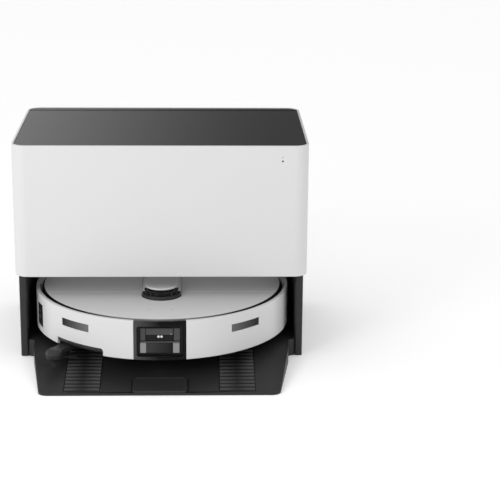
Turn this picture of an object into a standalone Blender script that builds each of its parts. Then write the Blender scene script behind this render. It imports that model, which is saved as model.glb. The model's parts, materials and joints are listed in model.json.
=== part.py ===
"""Robot vacuum docked in a compact cleaning station.

Metres, +Z up, +Y towards the station's back wall. The origin is on the floor, at the middle of the
station's footprint. The robot stands on the station's deck, with its bumper facing -Y.
"""
import math

import bmesh
import bpy
from mathutils import Vector

# Station: driving dimensions
STATION_HALF_WIDTH = 0.200
STATION_FRONT = -0.200
STATION_BACK = 0.200
STATION_TOP = 0.301
HOUSING_FRONT = -0.060
HOUSING_BOTTOM = 0.118
HOUSING_CORNER = 0.019
HOUSING_WALL = 0.003
PILLAR_FRONT = -0.049
PILLAR_BACK = 0.196
PILLAR_OUTER = 0.195
PILLAR_INNER = 0.184
PILLAR_CORNER = 0.003
BAY_REAR = 0.190
DECK = 0.024
RAMP_LIP = 0.0025
RAMP_END = -0.075
RAMP_HALF_FRONT = 0.159
RAMP_HALF_REAR = 0.176
RAMP_CORNER = 0.012
RAMP_NECK = 0.004
ABOVE_BASE = 0.05
TRACK_INNER = 0.0786
TRACK_OUTER = 0.125
TRACK_START = -0.195
TRACK_END = -0.080
TRACK_DEPTH = 0.0022
TRACK_GROOVE = 0.0008
TRACK_RIB = 0.002
RIB_PITCH = 0.009
RIB_SHAPE = ((0.95, 0), (0.75, 1), (0.45, 1), (0.25, 0))
TRAY_HALF_WIDTH = 0.132
TRAY_FRONT = 0.028
TRAY_REAR = 0.160
TRAY_BOTTOM = 0.016
TRAY_GROOVE = 0.0212
TRAY_RIB = 0.0024
TAB_HALF_WIDTH = 0.0355
TAB_FRONT = STATION_FRONT + 0.0015
TAB_REAR = -0.1655
TAB_RISE = 0.0036
UPPER_DECK_TOP = 0.1222
CONTACT_X = 0.035
CONTACT_HALF_WIDTH = 0.009
CONTACT_Y = (0.1822, 0.1940)
CONTACT_Z = (0.0585, 0.0675)
CONTACT_PIVOT = (0.188, 0.063)
CONTACT_ROOM = 0.002
LIGHT_AT = (0.164, 0.280)
LIGHT_RADIUS = 0.0010
LIGHT_Y = (-0.0598, -0.0572)
INLET_LOW = (0.1003, 0.1850, 0.1403)
INLET_HIGH = (0.1297, 0.1995, 0.1637)
SOCKET_LOW = (0.1060, 0.1460)
SOCKET_HIGH = (0.1240, 0.1580)
SOCKET_DEPTH = 0.1880
HINGE_Y = 0.1760
HINGE_Z = 0.2950
PIN_RADIUS = 0.0012
LID_UNDER = 0.2975
LID_TOP = 0.3005
TRIM_FRONT = 0.1822
HOOK_RADII = (0.0015, 0.0026)
HOOK_X = 0.12
HOOK_HALF_WIDTH = 0.012
POST_X = 0.155
POST_HALF_WIDTH = 0.004
POST_HALF_DEPTH = 0.0016
POST_BOTTOM = 0.2850
POST_SHELF = 0.2905
TANK_X = (0.068, 0.192)
TANK_Y = (-0.050, 0.170)
TANK_Z = (0.1226, 0.2780)
TANK_WALL = 0.0025
TANK_FLOOR = 0.0030
TANK_CORNER = 0.010
CAP_Z = (0.2783, 0.2830, 0.2910)
GRIP_HALF_WIDTH = 0.012
GRIP_Y = (0.02, 0.11)
GRIP_CORNER = 0.005
BAG_HALF_WIDTH = 0.055
BAG_Y = (-0.045, 0.072)
BAG_CORNER = 0.014
BAG_LEVELS = ((0.012, 0.135), (0.0, 0.150), (0.0, 0.250), (0.012, 0.265))
COLLAR_LOW = (-0.050, 0.0740, 0.140)
COLLAR_HIGH = (0.050, 0.0770, 0.268)
MOUTH_Z = 0.205
MOUTH_RADIUS = 0.017
MOTOR_CENTRE = (0, 0.125)
MOTOR_PROFILE = ((0.044, 0.1225), (0.047, 0.126), (0.047, 0.170), (0.040, 0.176), (0.040, 0.214),
                 (0.030, 0.222))

# Robot: driving dimensions
ROBOT_Y = 0.007
ROBOT_RADIUS = 0.1765
ROBOT_BOTTOM = 0.0371
ROBOT_TOP = 0.0909
EDGE = 0.0015
RIM_INNER = 0.171
BUMPER_WALL = (0.1725, 0.0870)
BUMPER_SPREAD = 90
REAR_WALL = (0.1690, 0.0860)
REAR_SPREAD = (91.4, 268.6)
SHELL_STEPS = 36
COVER_RADIUS = 0.165
CHASSIS_RADIUS = 0.1685
CHASSIS_BEVEL = 0.003
CHASSIS_BOTTOM = 0.0345
CHASSIS_TOP = 0.0481
BELOW_ROBOT = 0.02
ABOVE_CHASSIS = 0.06
DECK_PLATE = (0.0815, 0.0845)
DECK_PLATE_RADIUS = 0.168
DECK_CUT = (0.07, 0.09)
SEAM = -0.048
SEAM_ROOM = 0.1
TOWER_SLOT = 0.0275
TOWER_SLOT_CENTRE = -0.061
TOWER_SLOT_BACK = 0.0225
WINDOW_HALF_ANGLE = 11.4
WINDOW_BOTTOM = 0.030
SENSOR_ANGLES = (32.5, 48.5)
SENSOR_Z = (0.0667, 0.0774)
SIDE_SENSOR_ANGLES = (66.8, 76.6)
SIDE_SENSOR_Z = (0.0456, 0.0781)
PANE_RADII = (0.1732, 0.1761)
PANE_ROOM = 0.12
THROUGH_WALL = (0.160, 0.190)
NOTCH_ANGLES = (25.3, 52.2)
NOTCH_TOP = 0.0476
LIDAR_Y = ROBOT_Y - 0.050
LIDAR_HOLE = 0.0205
WINDOW_LEVELS = ((0.0265, -0.0605, 0), (0.0235, -0.0510, 0), (0.0215, -0.0510, -0.002),
                 (0.0245, -0.0605, -0.002))
WINDOW_TOP = 0.0995
WINDOW_BACK = 0.0215
CAP_HALF_WIDTH = 0.022
CAP_CENTRE = -0.050
CAP_BACK = 0.020
LIDAR_CAP_Z = (0.0998, 0.1028)
ROTOR_PROFILE = ((0.010, 0.0780), (0.010, 0.0860), (0.018, 0.0860), (0.018, 0.0985))
ROTOR_NOTCH_LOW = (-0.009, LIDAR_Y - 0.03, 0.0885)
ROTOR_NOTCH_HIGH = (0.009, LIDAR_Y - 0.0135, 0.0960)
WELL_X = (0.0735, 0.1185)
WELL_Y = (-0.0455, 0.0195)
WHEEL_X = 0.102
WHEEL_Y = ROBOT_Y - 0.012
WHEEL_RADIUS = 0.0265
ARM_PIVOT_Y = ROBOT_Y - 0.042
ARM_PIVOT_Z = 0.0575
ARM_X = (0.0755, 0.0845)
ARM_RADII = (0.005, 0.0060)
HUB_PROFILE = ((0.006, 0.0850), (0.006, 0.0895), (0.0202, 0.0895), (0.0202, 0.1145), (0.014, 0.1145),
               (0.012, 0.1120))
TYRE_PROFILE = ((0.0205, 0.090), (0.0250, 0.090), (0.0265, 0.0915), (0.0265, 0.1125), (0.0250, 0.114),
                (0.0205, 0.114))
MOP_X = 0.065
MOP_Y = ROBOT_Y + 0.084
MOP_WELL_RADIUS = 0.061
MOP_WELL_TOP = 0.0455
MOP_SHAFT_HOLE = 0.005
GEARBOX_HALF = (0.085, 0.012)
GEARBOX_Z = (0.0487, 0.0665)
MOP_PLATE = ((0.053, 0.0318), (0.0555, 0.0330), (0.0555, 0.0350), (0.054, 0.0358), (0.0035, 0.0358),
             (0.0035, 0.0484))
MOP_PAD = ((0.018, 0.0243), (0.0565, 0.0243), (0.0585, 0.0265), (0.0585, 0.0295), (0.0565, 0.0315),
           (0.018, 0.0315))
BRUSH_Y = ROBOT_Y - 0.0725
BRUSH_Z = 0.0445
BRUSH_RADIUS = 0.018
BRUSH_CORE = 0.013
BRUSH_HALF_LENGTH = 0.080
BRUSH_BLADES = 6
BRUSH_SLOT_HALF = 0.083
BRUSH_SLOT_Y = (-0.096, -0.049)
CASTER_Y = ROBOT_Y - 0.130
CASTER_TRAIL = 0.004
CASTER_HEIGHT = 0.0360
CASTER_HOLE = 0.0175
FORK_PROFILE = ((0.0165, 0.0385), (0.0165, 0.0535), (0.005, 0.0535), (0.005, 0.0600))
FORK_SLOT_HALF = (0.0092, 0.0125)
FORK_SLOT_TOP = 0.0490
CASTER_RIM = ((0.0100, -0.0085), (0.0115, -0.0070), (0.0115, 0.0070), (0.0100, 0.0085))
INSIDE_FLOOR = CHASSIS_TOP + 0.0006
CAMERA_HALF_WIDTH = 0.028
CAMERA_Y = (-0.164, -0.150)
CAMERA_TOP = 0.080
BATTERY_X = (0.025, 0.085)
BATTERY_Y = (-0.140, -0.101)
BATTERY_TOP = 0.073
BOARD_HALF_WIDTH = 0.075
BOARD_Y = (-0.098, -0.074)
BOARD_Z = (0.0760, 0.0776)
BIN_HALF_WIDTH = 0.0625
BIN_Y = (-0.0165, 0.0645)
BIN_TOP = 0.0842
BIN_CORNER = 0.006
THIN_WALL = 0.002
BIN_ROOM = 0.0015
FAN_CENTRE = (0.103, ROBOT_Y + 0.046)
FAN_RADII = (0.019, 0.021)
FAN_TOP = 0.070
FAN_PIVOT_Z = 0.058
BLADE_RADII = (0.007, 0.0165)
BLADE_Z = (0.0530, 0.0660)
BLADE_COUNT = 7
SWEEPER_PIVOT = (-0.105, ROBOT_Y - 0.085)
SWEEPER_HUB = (-0.1416, ROBOT_Y - 0.138)
SWEEPER_ARM = (0.0330, 0.0398)
SWEEPER_POCKET_TOP = 0.0403
SWEEPER_WIDTH = 0.0115
SWEEPER_REACH = 0.110
SWEEPER_ROOM = 0.0145
TUFT_RADII = (0.006, 0.030)
TUFT_Z = (0.0262, 0.0280)
TUFT_LEAN = 17
BUTTON_X = 0.015
BUTTON_Y = ROBOT_Y - 0.127
BUTTON_RADIUS = 0.0044
BUTTON_BOTTOM = 0.0856

GAP = 0.0003
ROUND = 72

for leftover in list(bpy.data.objects):
    bpy.data.objects.remove(leftover, do_unlink=True)


# ---------------------------------------------------------------- materials
def finish(name, colour, roughness, metallic=0.0):
    """A plain Principled material."""
    material = bpy.data.materials.new(name)
    material.use_nodes = True
    shader = material.node_tree.nodes["Principled BSDF"]
    shader.inputs["Base Color"].default_value = (*colour, 1.0)
    shader.inputs["Roughness"].default_value = roughness
    shader.inputs["Metallic"].default_value = metallic
    material.diffuse_color = (*colour, 1.0)
    return material


WHITE = ("white_shell", (0.80, 0.80, 0.80), 0.35)
BLACK = ("black_plastic", (0.020, 0.020, 0.022), 0.45)
GLOSS = ("dark_gloss", (0.030, 0.030, 0.032), 0.12)
GREY = ("grey_plastic", (0.10, 0.10, 0.105), 0.5)
CLEAR = ("smoke_tank", (0.22, 0.24, 0.26), 0.2)
RUBBER = ("rubber", (0.015, 0.015, 0.015), 0.7)
CLOTH = ("mop_cloth", (0.62, 0.62, 0.60), 0.95)
BAG = ("bag_cloth", (0.78, 0.79, 0.78), 0.9)
TEAL = ("teal_card", (0.02, 0.30, 0.30), 0.6)
BOARD = ("circuit_board", (0.01, 0.12, 0.05), 0.5)
COPPER = ("contact_metal", (0.70, 0.55, 0.30), 0.3, 1.0)


# ---------------------------------------------------------------- outlines
def arc(centre, radius, start, stop, steps):
    """Points on an arc in the plane, angles in degrees from the first axis."""
    points = []
    for step in range(steps + 1):
        angle = math.radians(start + (stop - start) * step / steps)
        points.append((centre[0] + radius * math.cos(angle), centre[1] + radius * math.sin(angle)))
    return points


def circle(centre, radius, steps=32):
    return arc(centre, radius, 0, 360, steps)[:-1]


def rounded_box(low, high, radius, steps=5):
    """Outline of a rectangle with round corners, counter-clockwise."""
    corners = ((high[0] - radius, high[1] - radius), (low[0] + radius, high[1] - radius),
               (low[0] + radius, low[1] + radius), (high[0] - radius, low[1] + radius))
    outline = []
    for number, corner in enumerate(corners):
        outline += arc(corner, radius, 90 * number, 90 * number + 90, steps)
    return outline


def tower_outline(half_width, front_centre, back, corner=0.006):
    """Half-round front, straight sides and a blunt back."""
    outline = arc((0, front_centre), half_width, 180, 360, 16)
    outline += arc((half_width - corner, back - corner), corner, 0, 90, 4)
    outline += arc((-half_width + corner, back - corner), corner, 90, 180, 4)
    return outline


def link_outline(start, stop, start_radius, stop_radius, steps=10):
    """Outline of a bar with round ends."""
    lean = math.degrees(math.atan2(stop[1] - start[1], stop[0] - start[0]))
    outline = arc(start, start_radius, lean + 90, lean + 270, steps)
    outline += arc(stop, stop_radius, lean - 90, lean + 90, steps)
    return outline


def around_robot(radius, degrees):
    """A point at this radius and this angle from the robot's front, towards +X."""
    angle = math.radians(degrees)
    return radius * math.sin(angle), ROBOT_Y - radius * math.cos(angle)


def ramp(y):
    """Height of the ramp's surface."""
    slope = (DECK - RAMP_LIP) / (RAMP_END - STATION_FRONT)
    return RAMP_LIP + slope * (y - STATION_FRONT)


# ---------------------------------------------------------------- solids
def loft(loops, ring=False):
    """Skin of quads over loops of equal length. A ring joins its last loop to its first."""
    mesh = bmesh.new()
    rows = [[mesh.verts.new(point) for point in loop] for loop in loops]
    count = len(rows[0])
    last = len(rows) if ring else len(rows) - 1
    for index in range(last):
        near = rows[index]
        far = rows[(index + 1) % len(rows)]
        for corner in range(count):
            after = (corner + 1) % count
            mesh.faces.new((near[corner], near[after], far[after], far[corner]))
    if not ring:
        mesh.faces.new(rows[0])
        mesh.faces.new(rows[-1])
    bmesh.ops.recalc_face_normals(mesh, faces=mesh.faces)
    return mesh


def prism(outline, low, high):
    return loft([[(x, y, z) for x, y in outline] for z in (low, high)])


def side_prism(outline, left, right):
    """A (y, z) outline pulled along X."""
    return loft([[(x, y, z) for y, z in outline] for x in (left, right)])


def front_prism(outline, near, far):
    """An (x, z) outline pulled along Y."""
    return loft([[(x, y, z) for x, z in outline] for y in (near, far)])


def block(low, high):
    outline = ((low[0], low[1]), (high[0], low[1]), (high[0], high[1]), (low[0], high[1]))
    return prism(outline, low[2], high[2])


def tube(outer, inner, low, high):
    """A wall between two outlines with the same number of points."""
    loops = [[(x, y, z) for x, y in outline]
             for outline, z in ((outer, low), (outer, high), (inner, high), (inner, low))]
    return loft(loops, ring=True)


def cup(outer, inner, low, high, floor):
    """An open-topped vessel."""
    loops = [[(x, y, z) for x, y in outline]
             for outline, z in ((outer, low), (outer, high), (inner, high), (inner, floor))]
    return loft(loops)


def turned(profile, centre, ring=False, steps=32):
    """A (radius, z) profile turned about the vertical through centre."""
    loops = [[(x, y, z) for x, y in circle(centre, radius, steps)] for radius, z in profile]
    return loft(loops, ring)


def wheel_turned(profile, centre, ring=False, steps=32):
    """A (radius, x) profile turned about the X line through centre (y, z)."""
    loops = [[(x, y, z) for y, z in circle(centre, radius, steps)] for radius, x in profile]
    return loft(loops, ring)


def sweep(profile, start, stop, steps):
    """A (radius, z) profile swept about the robot's centre between two angles from its front."""
    loops = []
    for step in range(steps + 1):
        degrees = start + (stop - start) * step / steps
        loops.append([(*around_robot(radius, degrees), z) for radius, z in profile])
    return loft(loops)


# ---------------------------------------------------------------- objects
origins = {}


def pivot(name, at, parent=None):
    """An empty on a joint's axis."""
    holder = bpy.data.objects.new(name, None)
    bpy.context.scene.collection.objects.link(holder)
    origins[name] = Vector(at)
    holder.location = Vector(at)
    if parent:
        holder.parent = parent
        holder.location = Vector(at) - origins[parent.name]
    return holder


def piece(name, mesh, look, holder=None):
    """An object whose origin lies on its holder's axis."""
    if holder:
        bmesh.ops.translate(mesh, verts=mesh.verts, vec=-origins[holder.name])
    data = bpy.data.meshes.new(name)
    mesh.to_mesh(data)
    mesh.free()
    data.materials.append(finish(name + "_" + look[0], *look[1:]))
    data.shade_smooth()
    data.set_sharp_from_angle(angle=math.radians(35))
    item = bpy.data.objects.new(name, data)
    item.parent = holder
    bpy.context.scene.collection.objects.link(item)
    return item


def shape_with(item, mesh, operation):
    """Cut a mesh out of an object, or join it on."""
    data = bpy.data.meshes.new("tool_" + item.name)
    mesh.to_mesh(data)
    mesh.free()
    tool = bpy.data.objects.new("tool_" + item.name, data)
    tool.hide_render = True
    tool.display_type = "WIRE"
    bpy.context.scene.collection.objects.link(tool)
    step = item.modifiers.new(operation.lower(), "BOOLEAN")
    step.operation = operation
    step.solver = "EXACT"
    step.object = tool


def cut(item, mesh):
    shape_with(item, mesh, "DIFFERENCE")


def join(item, mesh):
    shape_with(item, mesh, "UNION")


# ---------------------------------------------------------------- station
def make_base():
    """Ramp and deck in one moulding, with pockets for the tracks and the wash tray."""
    corner = RAMP_CORNER
    right = arc((RAMP_HALF_FRONT - corner, STATION_FRONT + corner), corner, -90, 0, 6)
    right += [(RAMP_HALF_REAR, PILLAR_FRONT - RAMP_NECK), (PILLAR_INNER - GAP, PILLAR_FRONT + GAP),
              (PILLAR_INNER - GAP, BAY_REAR - GAP)]
    left = [(-x, y) for x, y in reversed(right)]
    base = piece("base_plate", prism(right + left, 0, DECK), BLACK)
    ahead = STATION_FRONT - corner
    beyond = RAMP_END + corner
    wedge = ((ahead, ramp(ahead)), (beyond, ramp(beyond)), (beyond, ABOVE_BASE), (ahead, ABOVE_BASE))
    cut(base, side_prism(wedge, -STATION_HALF_WIDTH, STATION_HALF_WIDTH))
    floor = ((TRACK_START, ramp(TRACK_START) - TRACK_DEPTH), (TRACK_END, ramp(TRACK_END) - TRACK_DEPTH),
             (TRACK_END, ABOVE_BASE), (TRACK_START, ABOVE_BASE))
    cut(base, side_prism(floor, TRACK_INNER, TRACK_OUTER))
    cut(base, side_prism(floor, -TRACK_OUTER, -TRACK_INNER))
    cut(base, block((-TRAY_HALF_WIDTH - GAP, TRAY_FRONT - GAP, TRAY_BOTTOM),
                    (TRAY_HALF_WIDTH + GAP, TRAY_REAR + GAP, ABOVE_BASE)))


def ribbed_profile(start, stop, bottom, top, rib):
    """A (y, z) outline with trapezoid ribs on top. bottom and top are functions of y."""
    outline = [(start, bottom(start)), (stop, bottom(stop))]
    count = int((stop - start) / RIB_PITCH)
    for number in reversed(range(count)):
        first = start + number * RIB_PITCH
        for share, lift in RIB_SHAPE:
            y = first + share * RIB_PITCH
            outline.append((y, top(y) + lift * rib))
    return outline


def make_tracks():
    """Two ribbed strips that the drive wheels climb."""
    outline = ribbed_profile(TRACK_START + GAP, TRACK_END - GAP, lambda y: ramp(y) - TRACK_DEPTH + GAP,
                             lambda y: ramp(y) - TRACK_GROOVE, TRACK_RIB)
    for name, side in (("left_track", -1), ("right_track", 1)):
        edges = sorted((side * (TRACK_INNER + GAP), side * (TRACK_OUTER - GAP)))
        piece(name, side_prism(outline, *edges), RUBBER)


def make_wash_tray():
    outline = ribbed_profile(TRAY_FRONT, TRAY_REAR, lambda y: TRAY_BOTTOM + GAP, lambda y: TRAY_GROOVE,
                             TRAY_RIB)
    piece("wash_tray", side_prism(outline, -TRAY_HALF_WIDTH, TRAY_HALF_WIDTH), GREY)


def make_front_tab():
    """Raised touch pad with a sloping front edge."""
    near = TAB_FRONT
    far = TAB_REAR
    slope = TAB_RISE * 0.75
    outline = ((near, ramp(near) + GAP), (far, ramp(far) + GAP), (far - slope / 3, ramp(far) + TAB_RISE),
               (near + slope, ramp(near) + TAB_RISE), (near, ramp(near) + TAB_RISE / 2))
    piece("front_tab", side_prism(outline, -TAB_HALF_WIDTH, TAB_HALF_WIDTH), BLACK)


def make_bay():
    """Two side walls, the rear wall and the deck that carries the tanks."""
    top = HOUSING_BOTTOM - GAP
    for name, side in (("left_side_wall", -1), ("right_side_wall", 1)):
        edges = sorted((side * PILLAR_INNER, side * PILLAR_OUTER))
        outline = rounded_box((edges[0], PILLAR_FRONT), (edges[1], PILLAR_BACK), PILLAR_CORNER, 3)
        piece(name, prism(outline, 0, top), BLACK)
    wall = block((-PILLAR_INNER + GAP, BAY_REAR, 0), (PILLAR_INNER - GAP, PILLAR_BACK, top))
    rear = piece("rear_wall", wall, BLACK)
    reach = CONTACT_HALF_WIDTH + CONTACT_ROOM
    room = CONTACT_ROOM / 4
    for middle in (-CONTACT_X, CONTACT_X):
        cut(rear, block((middle - reach, BAY_REAR - 0.01, CONTACT_Z[0] - room),
                        (middle + reach, PILLAR_BACK + 0.01, CONTACT_Z[1] + room)))
    inside = HOUSING_WALL + GAP
    outline = rounded_box((-STATION_HALF_WIDTH + inside, HOUSING_FRONT + inside),
                          (STATION_HALF_WIDTH - inside, STATION_BACK - inside), HOUSING_CORNER - inside)
    piece("upper_deck", prism(outline, HOUSING_BOTTOM, UPPER_DECK_TOP), BLACK)


def make_contacts():
    """Sprung charging contacts that reach into the bay through the rear wall."""
    for name, middle in (("left_contact", -CONTACT_X), ("right_contact", CONTACT_X)):
        holder = pivot(name + "_slide", (middle, *CONTACT_PIVOT))
        pad = block((middle - CONTACT_HALF_WIDTH, CONTACT_Y[0], CONTACT_Z[0]),
                    (middle + CONTACT_HALF_WIDTH, CONTACT_Y[1], CONTACT_Z[1]))
        piece(name, pad, COPPER, holder)


def make_housing():
    """White walls round the tanks, open at the top and bottom."""
    outer = rounded_box((-STATION_HALF_WIDTH, HOUSING_FRONT), (STATION_HALF_WIDTH, STATION_BACK),
                        HOUSING_CORNER)
    wall = HOUSING_WALL
    inner = rounded_box((-STATION_HALF_WIDTH + wall, HOUSING_FRONT + wall),
                        (STATION_HALF_WIDTH - wall, STATION_BACK - wall), HOUSING_CORNER - wall)
    housing = piece("outer_housing", tube(outer, inner, HOUSING_BOTTOM, STATION_TOP), WHITE)
    cut(housing, block((INLET_LOW[0] - GAP, BAY_REAR, INLET_LOW[2] - GAP),
                       (INLET_HIGH[0] + GAP, STATION_BACK + 0.01, INLET_HIGH[2] + GAP)))
    cut(housing, front_prism(circle(LIGHT_AT, LIGHT_RADIUS + GAP, 12), HOUSING_FRONT - 2 * wall,
                             HOUSING_FRONT + 2 * wall))
    piece("status_light", front_prism(circle(LIGHT_AT, LIGHT_RADIUS, 12), *LIGHT_Y), CLEAR)


def make_power_inlet():
    """Socket for a two-pin lead in the back of the housing."""
    inlet = piece("power_inlet", block(INLET_LOW, INLET_HIGH), BLACK)
    socket = rounded_box(SOCKET_LOW, SOCKET_HIGH, 0.005, 4)
    cut(inlet, front_prism(socket, SOCKET_DEPTH, STATION_BACK + 0.01))


def make_lid():
    """Top lid with two hooks that clip round the hinge pin."""
    clearance = HOUSING_WALL + GAP
    outline = rounded_box((-STATION_HALF_WIDTH + clearance, HOUSING_FRONT + clearance),
                          (STATION_HALF_WIDTH - clearance, TRIM_FRONT), HOUSING_CORNER - clearance)
    back = HINGE_Y + 0.002
    outline = [(x, y) for x, y in outline if y < HINGE_Y - 0.02]
    outline = [(-outline[-1][0], back)] + outline + [(outline[-1][0], back)]
    holder = pivot("lid_axis", (0, HINGE_Y, HINGE_Z))
    lid = piece("top_lid", prism(outline, LID_UNDER, LID_TOP), GLOSS, holder)
    pin = (HINGE_Y, HINGE_Z)
    inner, outer = HOOK_RADII
    sunk = LID_UNDER + 0.0005
    hook = [(HINGE_Y + 0.0019, sunk), (HINGE_Y - outer, sunk)]
    hook += arc(pin, outer, 180, 240, 4)
    hook += arc(pin, inner, 240, -60, 12)
    hook += arc(pin, outer, -60, 0, 4)
    for x in (-HOOK_X, HOOK_X):
        join(lid, side_prism(hook, x - HOOK_HALF_WIDTH, x + HOOK_HALF_WIDTH))


def make_hinge_bar():
    """Fixed trim behind the lid, with three posts that hold the hinge pin."""
    clearance = HOUSING_WALL + GAP
    corner = HOUSING_CORNER - clearance
    centre = (STATION_HALF_WIDTH - HOUSING_CORNER, STATION_BACK - HOUSING_CORNER)
    start = math.degrees(math.asin((TRIM_FRONT - centre[1]) / corner))
    right = arc(centre, corner, start, 90, 6)
    outline = right + [(-x, y) for x, y in reversed(right)]
    bar = piece("lid_hinge_bar", prism(outline, LID_UNDER, LID_TOP), GLOSS)
    front = HINGE_Y - POST_HALF_DEPTH
    back = HINGE_Y + POST_HALF_DEPTH
    riser = (TRIM_FRONT + 0.001, TRIM_FRONT + 0.005)
    sunk = LID_UNDER + 0.001
    post = ((front, POST_BOTTOM), (riser[1], POST_BOTTOM), (riser[1], sunk), (riser[0], sunk),
            (riser[0], POST_SHELF), (back, POST_SHELF), (back, HINGE_Z), (front, HINGE_Z))
    for x in (-POST_X, 0, POST_X):
        join(bar, side_prism(post, x - POST_HALF_WIDTH, x + POST_HALF_WIDTH))
    end = POST_X + POST_HALF_WIDTH + 0.001
    join(bar, wheel_turned([(PIN_RADIUS, -end), (PIN_RADIUS, end)], (HINGE_Y, HINGE_Z), steps=12))


def make_tank(name, cap_name, side, look):
    """Water tank with a loose cap that has a raised grip."""
    left, right = sorted((side * TANK_X[0], side * TANK_X[1]))
    wall = TANK_WALL
    outer = rounded_box((left, TANK_Y[0]), (right, TANK_Y[1]), TANK_CORNER, 3)
    inner = rounded_box((left + wall, TANK_Y[0] + wall), (right - wall, TANK_Y[1] - wall),
                        TANK_CORNER - wall, 3)
    piece(name, cup(outer, inner, *TANK_Z, TANK_Z[0] + TANK_FLOOR), look)
    middle = (left + right) / 2
    grip = rounded_box((middle - GRIP_HALF_WIDTH, GRIP_Y[0]), (middle + GRIP_HALF_WIDTH, GRIP_Y[1]),
                       GRIP_CORNER, 3)
    bottom, shoulder, top = CAP_Z
    levels = ((outer, bottom), (outer, shoulder), (grip, shoulder), (grip, top))
    piece(cap_name, loft([[(x, y, z) for x, y in outline] for outline, z in levels]), GREY)


def make_dust_bay():
    """Dust bag, its card collar and the suction motor between the tanks."""
    loops = []
    for inset, z in BAG_LEVELS:
        side = BAG_HALF_WIDTH - inset
        outline = rounded_box((-side, BAG_Y[0] + inset), (side, BAG_Y[1] - inset), BAG_CORNER, 4)
        loops.append([(x, y, z) for x, y in outline])
    piece("dust_bag", loft(loops), BAG)
    collar = piece("dust_bag_collar", block(COLLAR_LOW, COLLAR_HIGH), TEAL)
    mouth = circle((0, MOUTH_Z), MOUTH_RADIUS, 24)
    cut(collar, front_prism(mouth, COLLAR_LOW[1] - 0.004, COLLAR_HIGH[1] + 0.004))
    piece("suction_motor", turned(MOTOR_PROFILE, MOTOR_CENTRE), GREY)


# ---------------------------------------------------------------- robot
def shell_profile(wall, lip):
    """Wall with a rim on top. wall is its inner radius, lip the height where the rim starts."""
    return ((wall, ROBOT_BOTTOM), (ROBOT_RADIUS - EDGE, ROBOT_BOTTOM), (ROBOT_RADIUS, ROBOT_BOTTOM + EDGE),
            (ROBOT_RADIUS, ROBOT_TOP - EDGE), (ROBOT_RADIUS - EDGE, ROBOT_TOP), (RIM_INNER, ROBOT_TOP),
            (RIM_INNER, lip), (wall, lip))


def make_shells(robot):
    """Sliding bumper with its windows, and the fixed shell behind it."""
    bumper_axis = pivot("bumper_slide", (0, ROBOT_Y - ROBOT_RADIUS, 0.064), robot)
    skin = sweep(shell_profile(*BUMPER_WALL), -BUMPER_SPREAD, BUMPER_SPREAD, SHELL_STEPS)
    bumper = piece("front_bumper", skin, WHITE, bumper_axis)
    first, last = SENSOR_ANGLES
    side = (-SIDE_SENSOR_ANGLES[1], -SIDE_SENSOR_ANGLES[0])
    notch = (-NOTCH_ANGLES[1], -NOTCH_ANGLES[0])
    panes = {"camera_window": (-WINDOW_HALF_ANGLE, WINDOW_HALF_ANGLE, WINDOW_BOTTOM, BUMPER_WALL[1] - GAP),
             "right_sensor_window": (first, last, *SENSOR_Z),
             "left_sensor_window": (-last, -first, *SENSOR_Z),
             "side_sensor_window": (*side, *SIDE_SENSOR_Z)}
    near, far = THROUGH_WALL
    for start, stop, low, high in (*panes.values(), (*notch, WINDOW_BOTTOM, NOTCH_TOP)):
        cut(bumper, sweep(((near, low), (far, low), (far, high), (near, high)), start, stop, 6))
    near, far = PANE_RADII
    for name, (start, stop, low, high) in panes.items():
        low = max(low, ROBOT_BOTTOM) + GAP
        high -= GAP
        outline = ((near, low), (far, low), (far, high), (near, high))
        piece(name, sweep(outline, start + PANE_ROOM, stop - PANE_ROOM, 6), GLOSS, bumper_axis)
    piece("rear_shell", sweep(shell_profile(*REAR_WALL), *REAR_SPREAD, SHELL_STEPS), WHITE, robot)


def make_chassis(robot):
    """Floor pan with the openings for everything that reaches the ground."""
    levels = ((CHASSIS_RADIUS - CHASSIS_BEVEL, CHASSIS_BOTTOM), (CHASSIS_RADIUS, ROBOT_BOTTOM),
              (CHASSIS_RADIUS, CHASSIS_TOP))
    chassis = piece("chassis", turned(levels, (0, ROBOT_Y), steps=ROUND), BLACK, robot)
    for side in (-1, 1):
        near, far = sorted((side * WELL_X[0], side * WELL_X[1]))
        cut(chassis, block((near, ROBOT_Y + WELL_Y[0], BELOW_ROBOT),
                           (far, ROBOT_Y + WELL_Y[1], ABOVE_CHASSIS)))
        well = circle((side * MOP_X, MOP_Y), MOP_WELL_RADIUS)
        cut(chassis, prism(well, BELOW_ROBOT, MOP_WELL_TOP))
        shaft = circle((side * MOP_X, MOP_Y), MOP_SHAFT_HOLE, 16)
        cut(chassis, prism(shaft, BELOW_ROBOT, ABOVE_CHASSIS))
    cut(chassis, block((-BRUSH_SLOT_HALF, ROBOT_Y + BRUSH_SLOT_Y[0], BELOW_ROBOT),
                       (BRUSH_SLOT_HALF, ROBOT_Y + BRUSH_SLOT_Y[1], ABOVE_CHASSIS)))
    cut(chassis, prism(circle((0, CASTER_Y), CASTER_HOLE, 24), BELOW_ROBOT, ABOVE_CHASSIS))
    pocket = arc(SWEEPER_PIVOT, SWEEPER_ROOM, 42, 132, 8) + arc(SWEEPER_PIVOT, SWEEPER_REACH, 222, 312, 8)
    cut(chassis, prism(pocket, BELOW_ROBOT, SWEEPER_POCKET_TOP))


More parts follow.
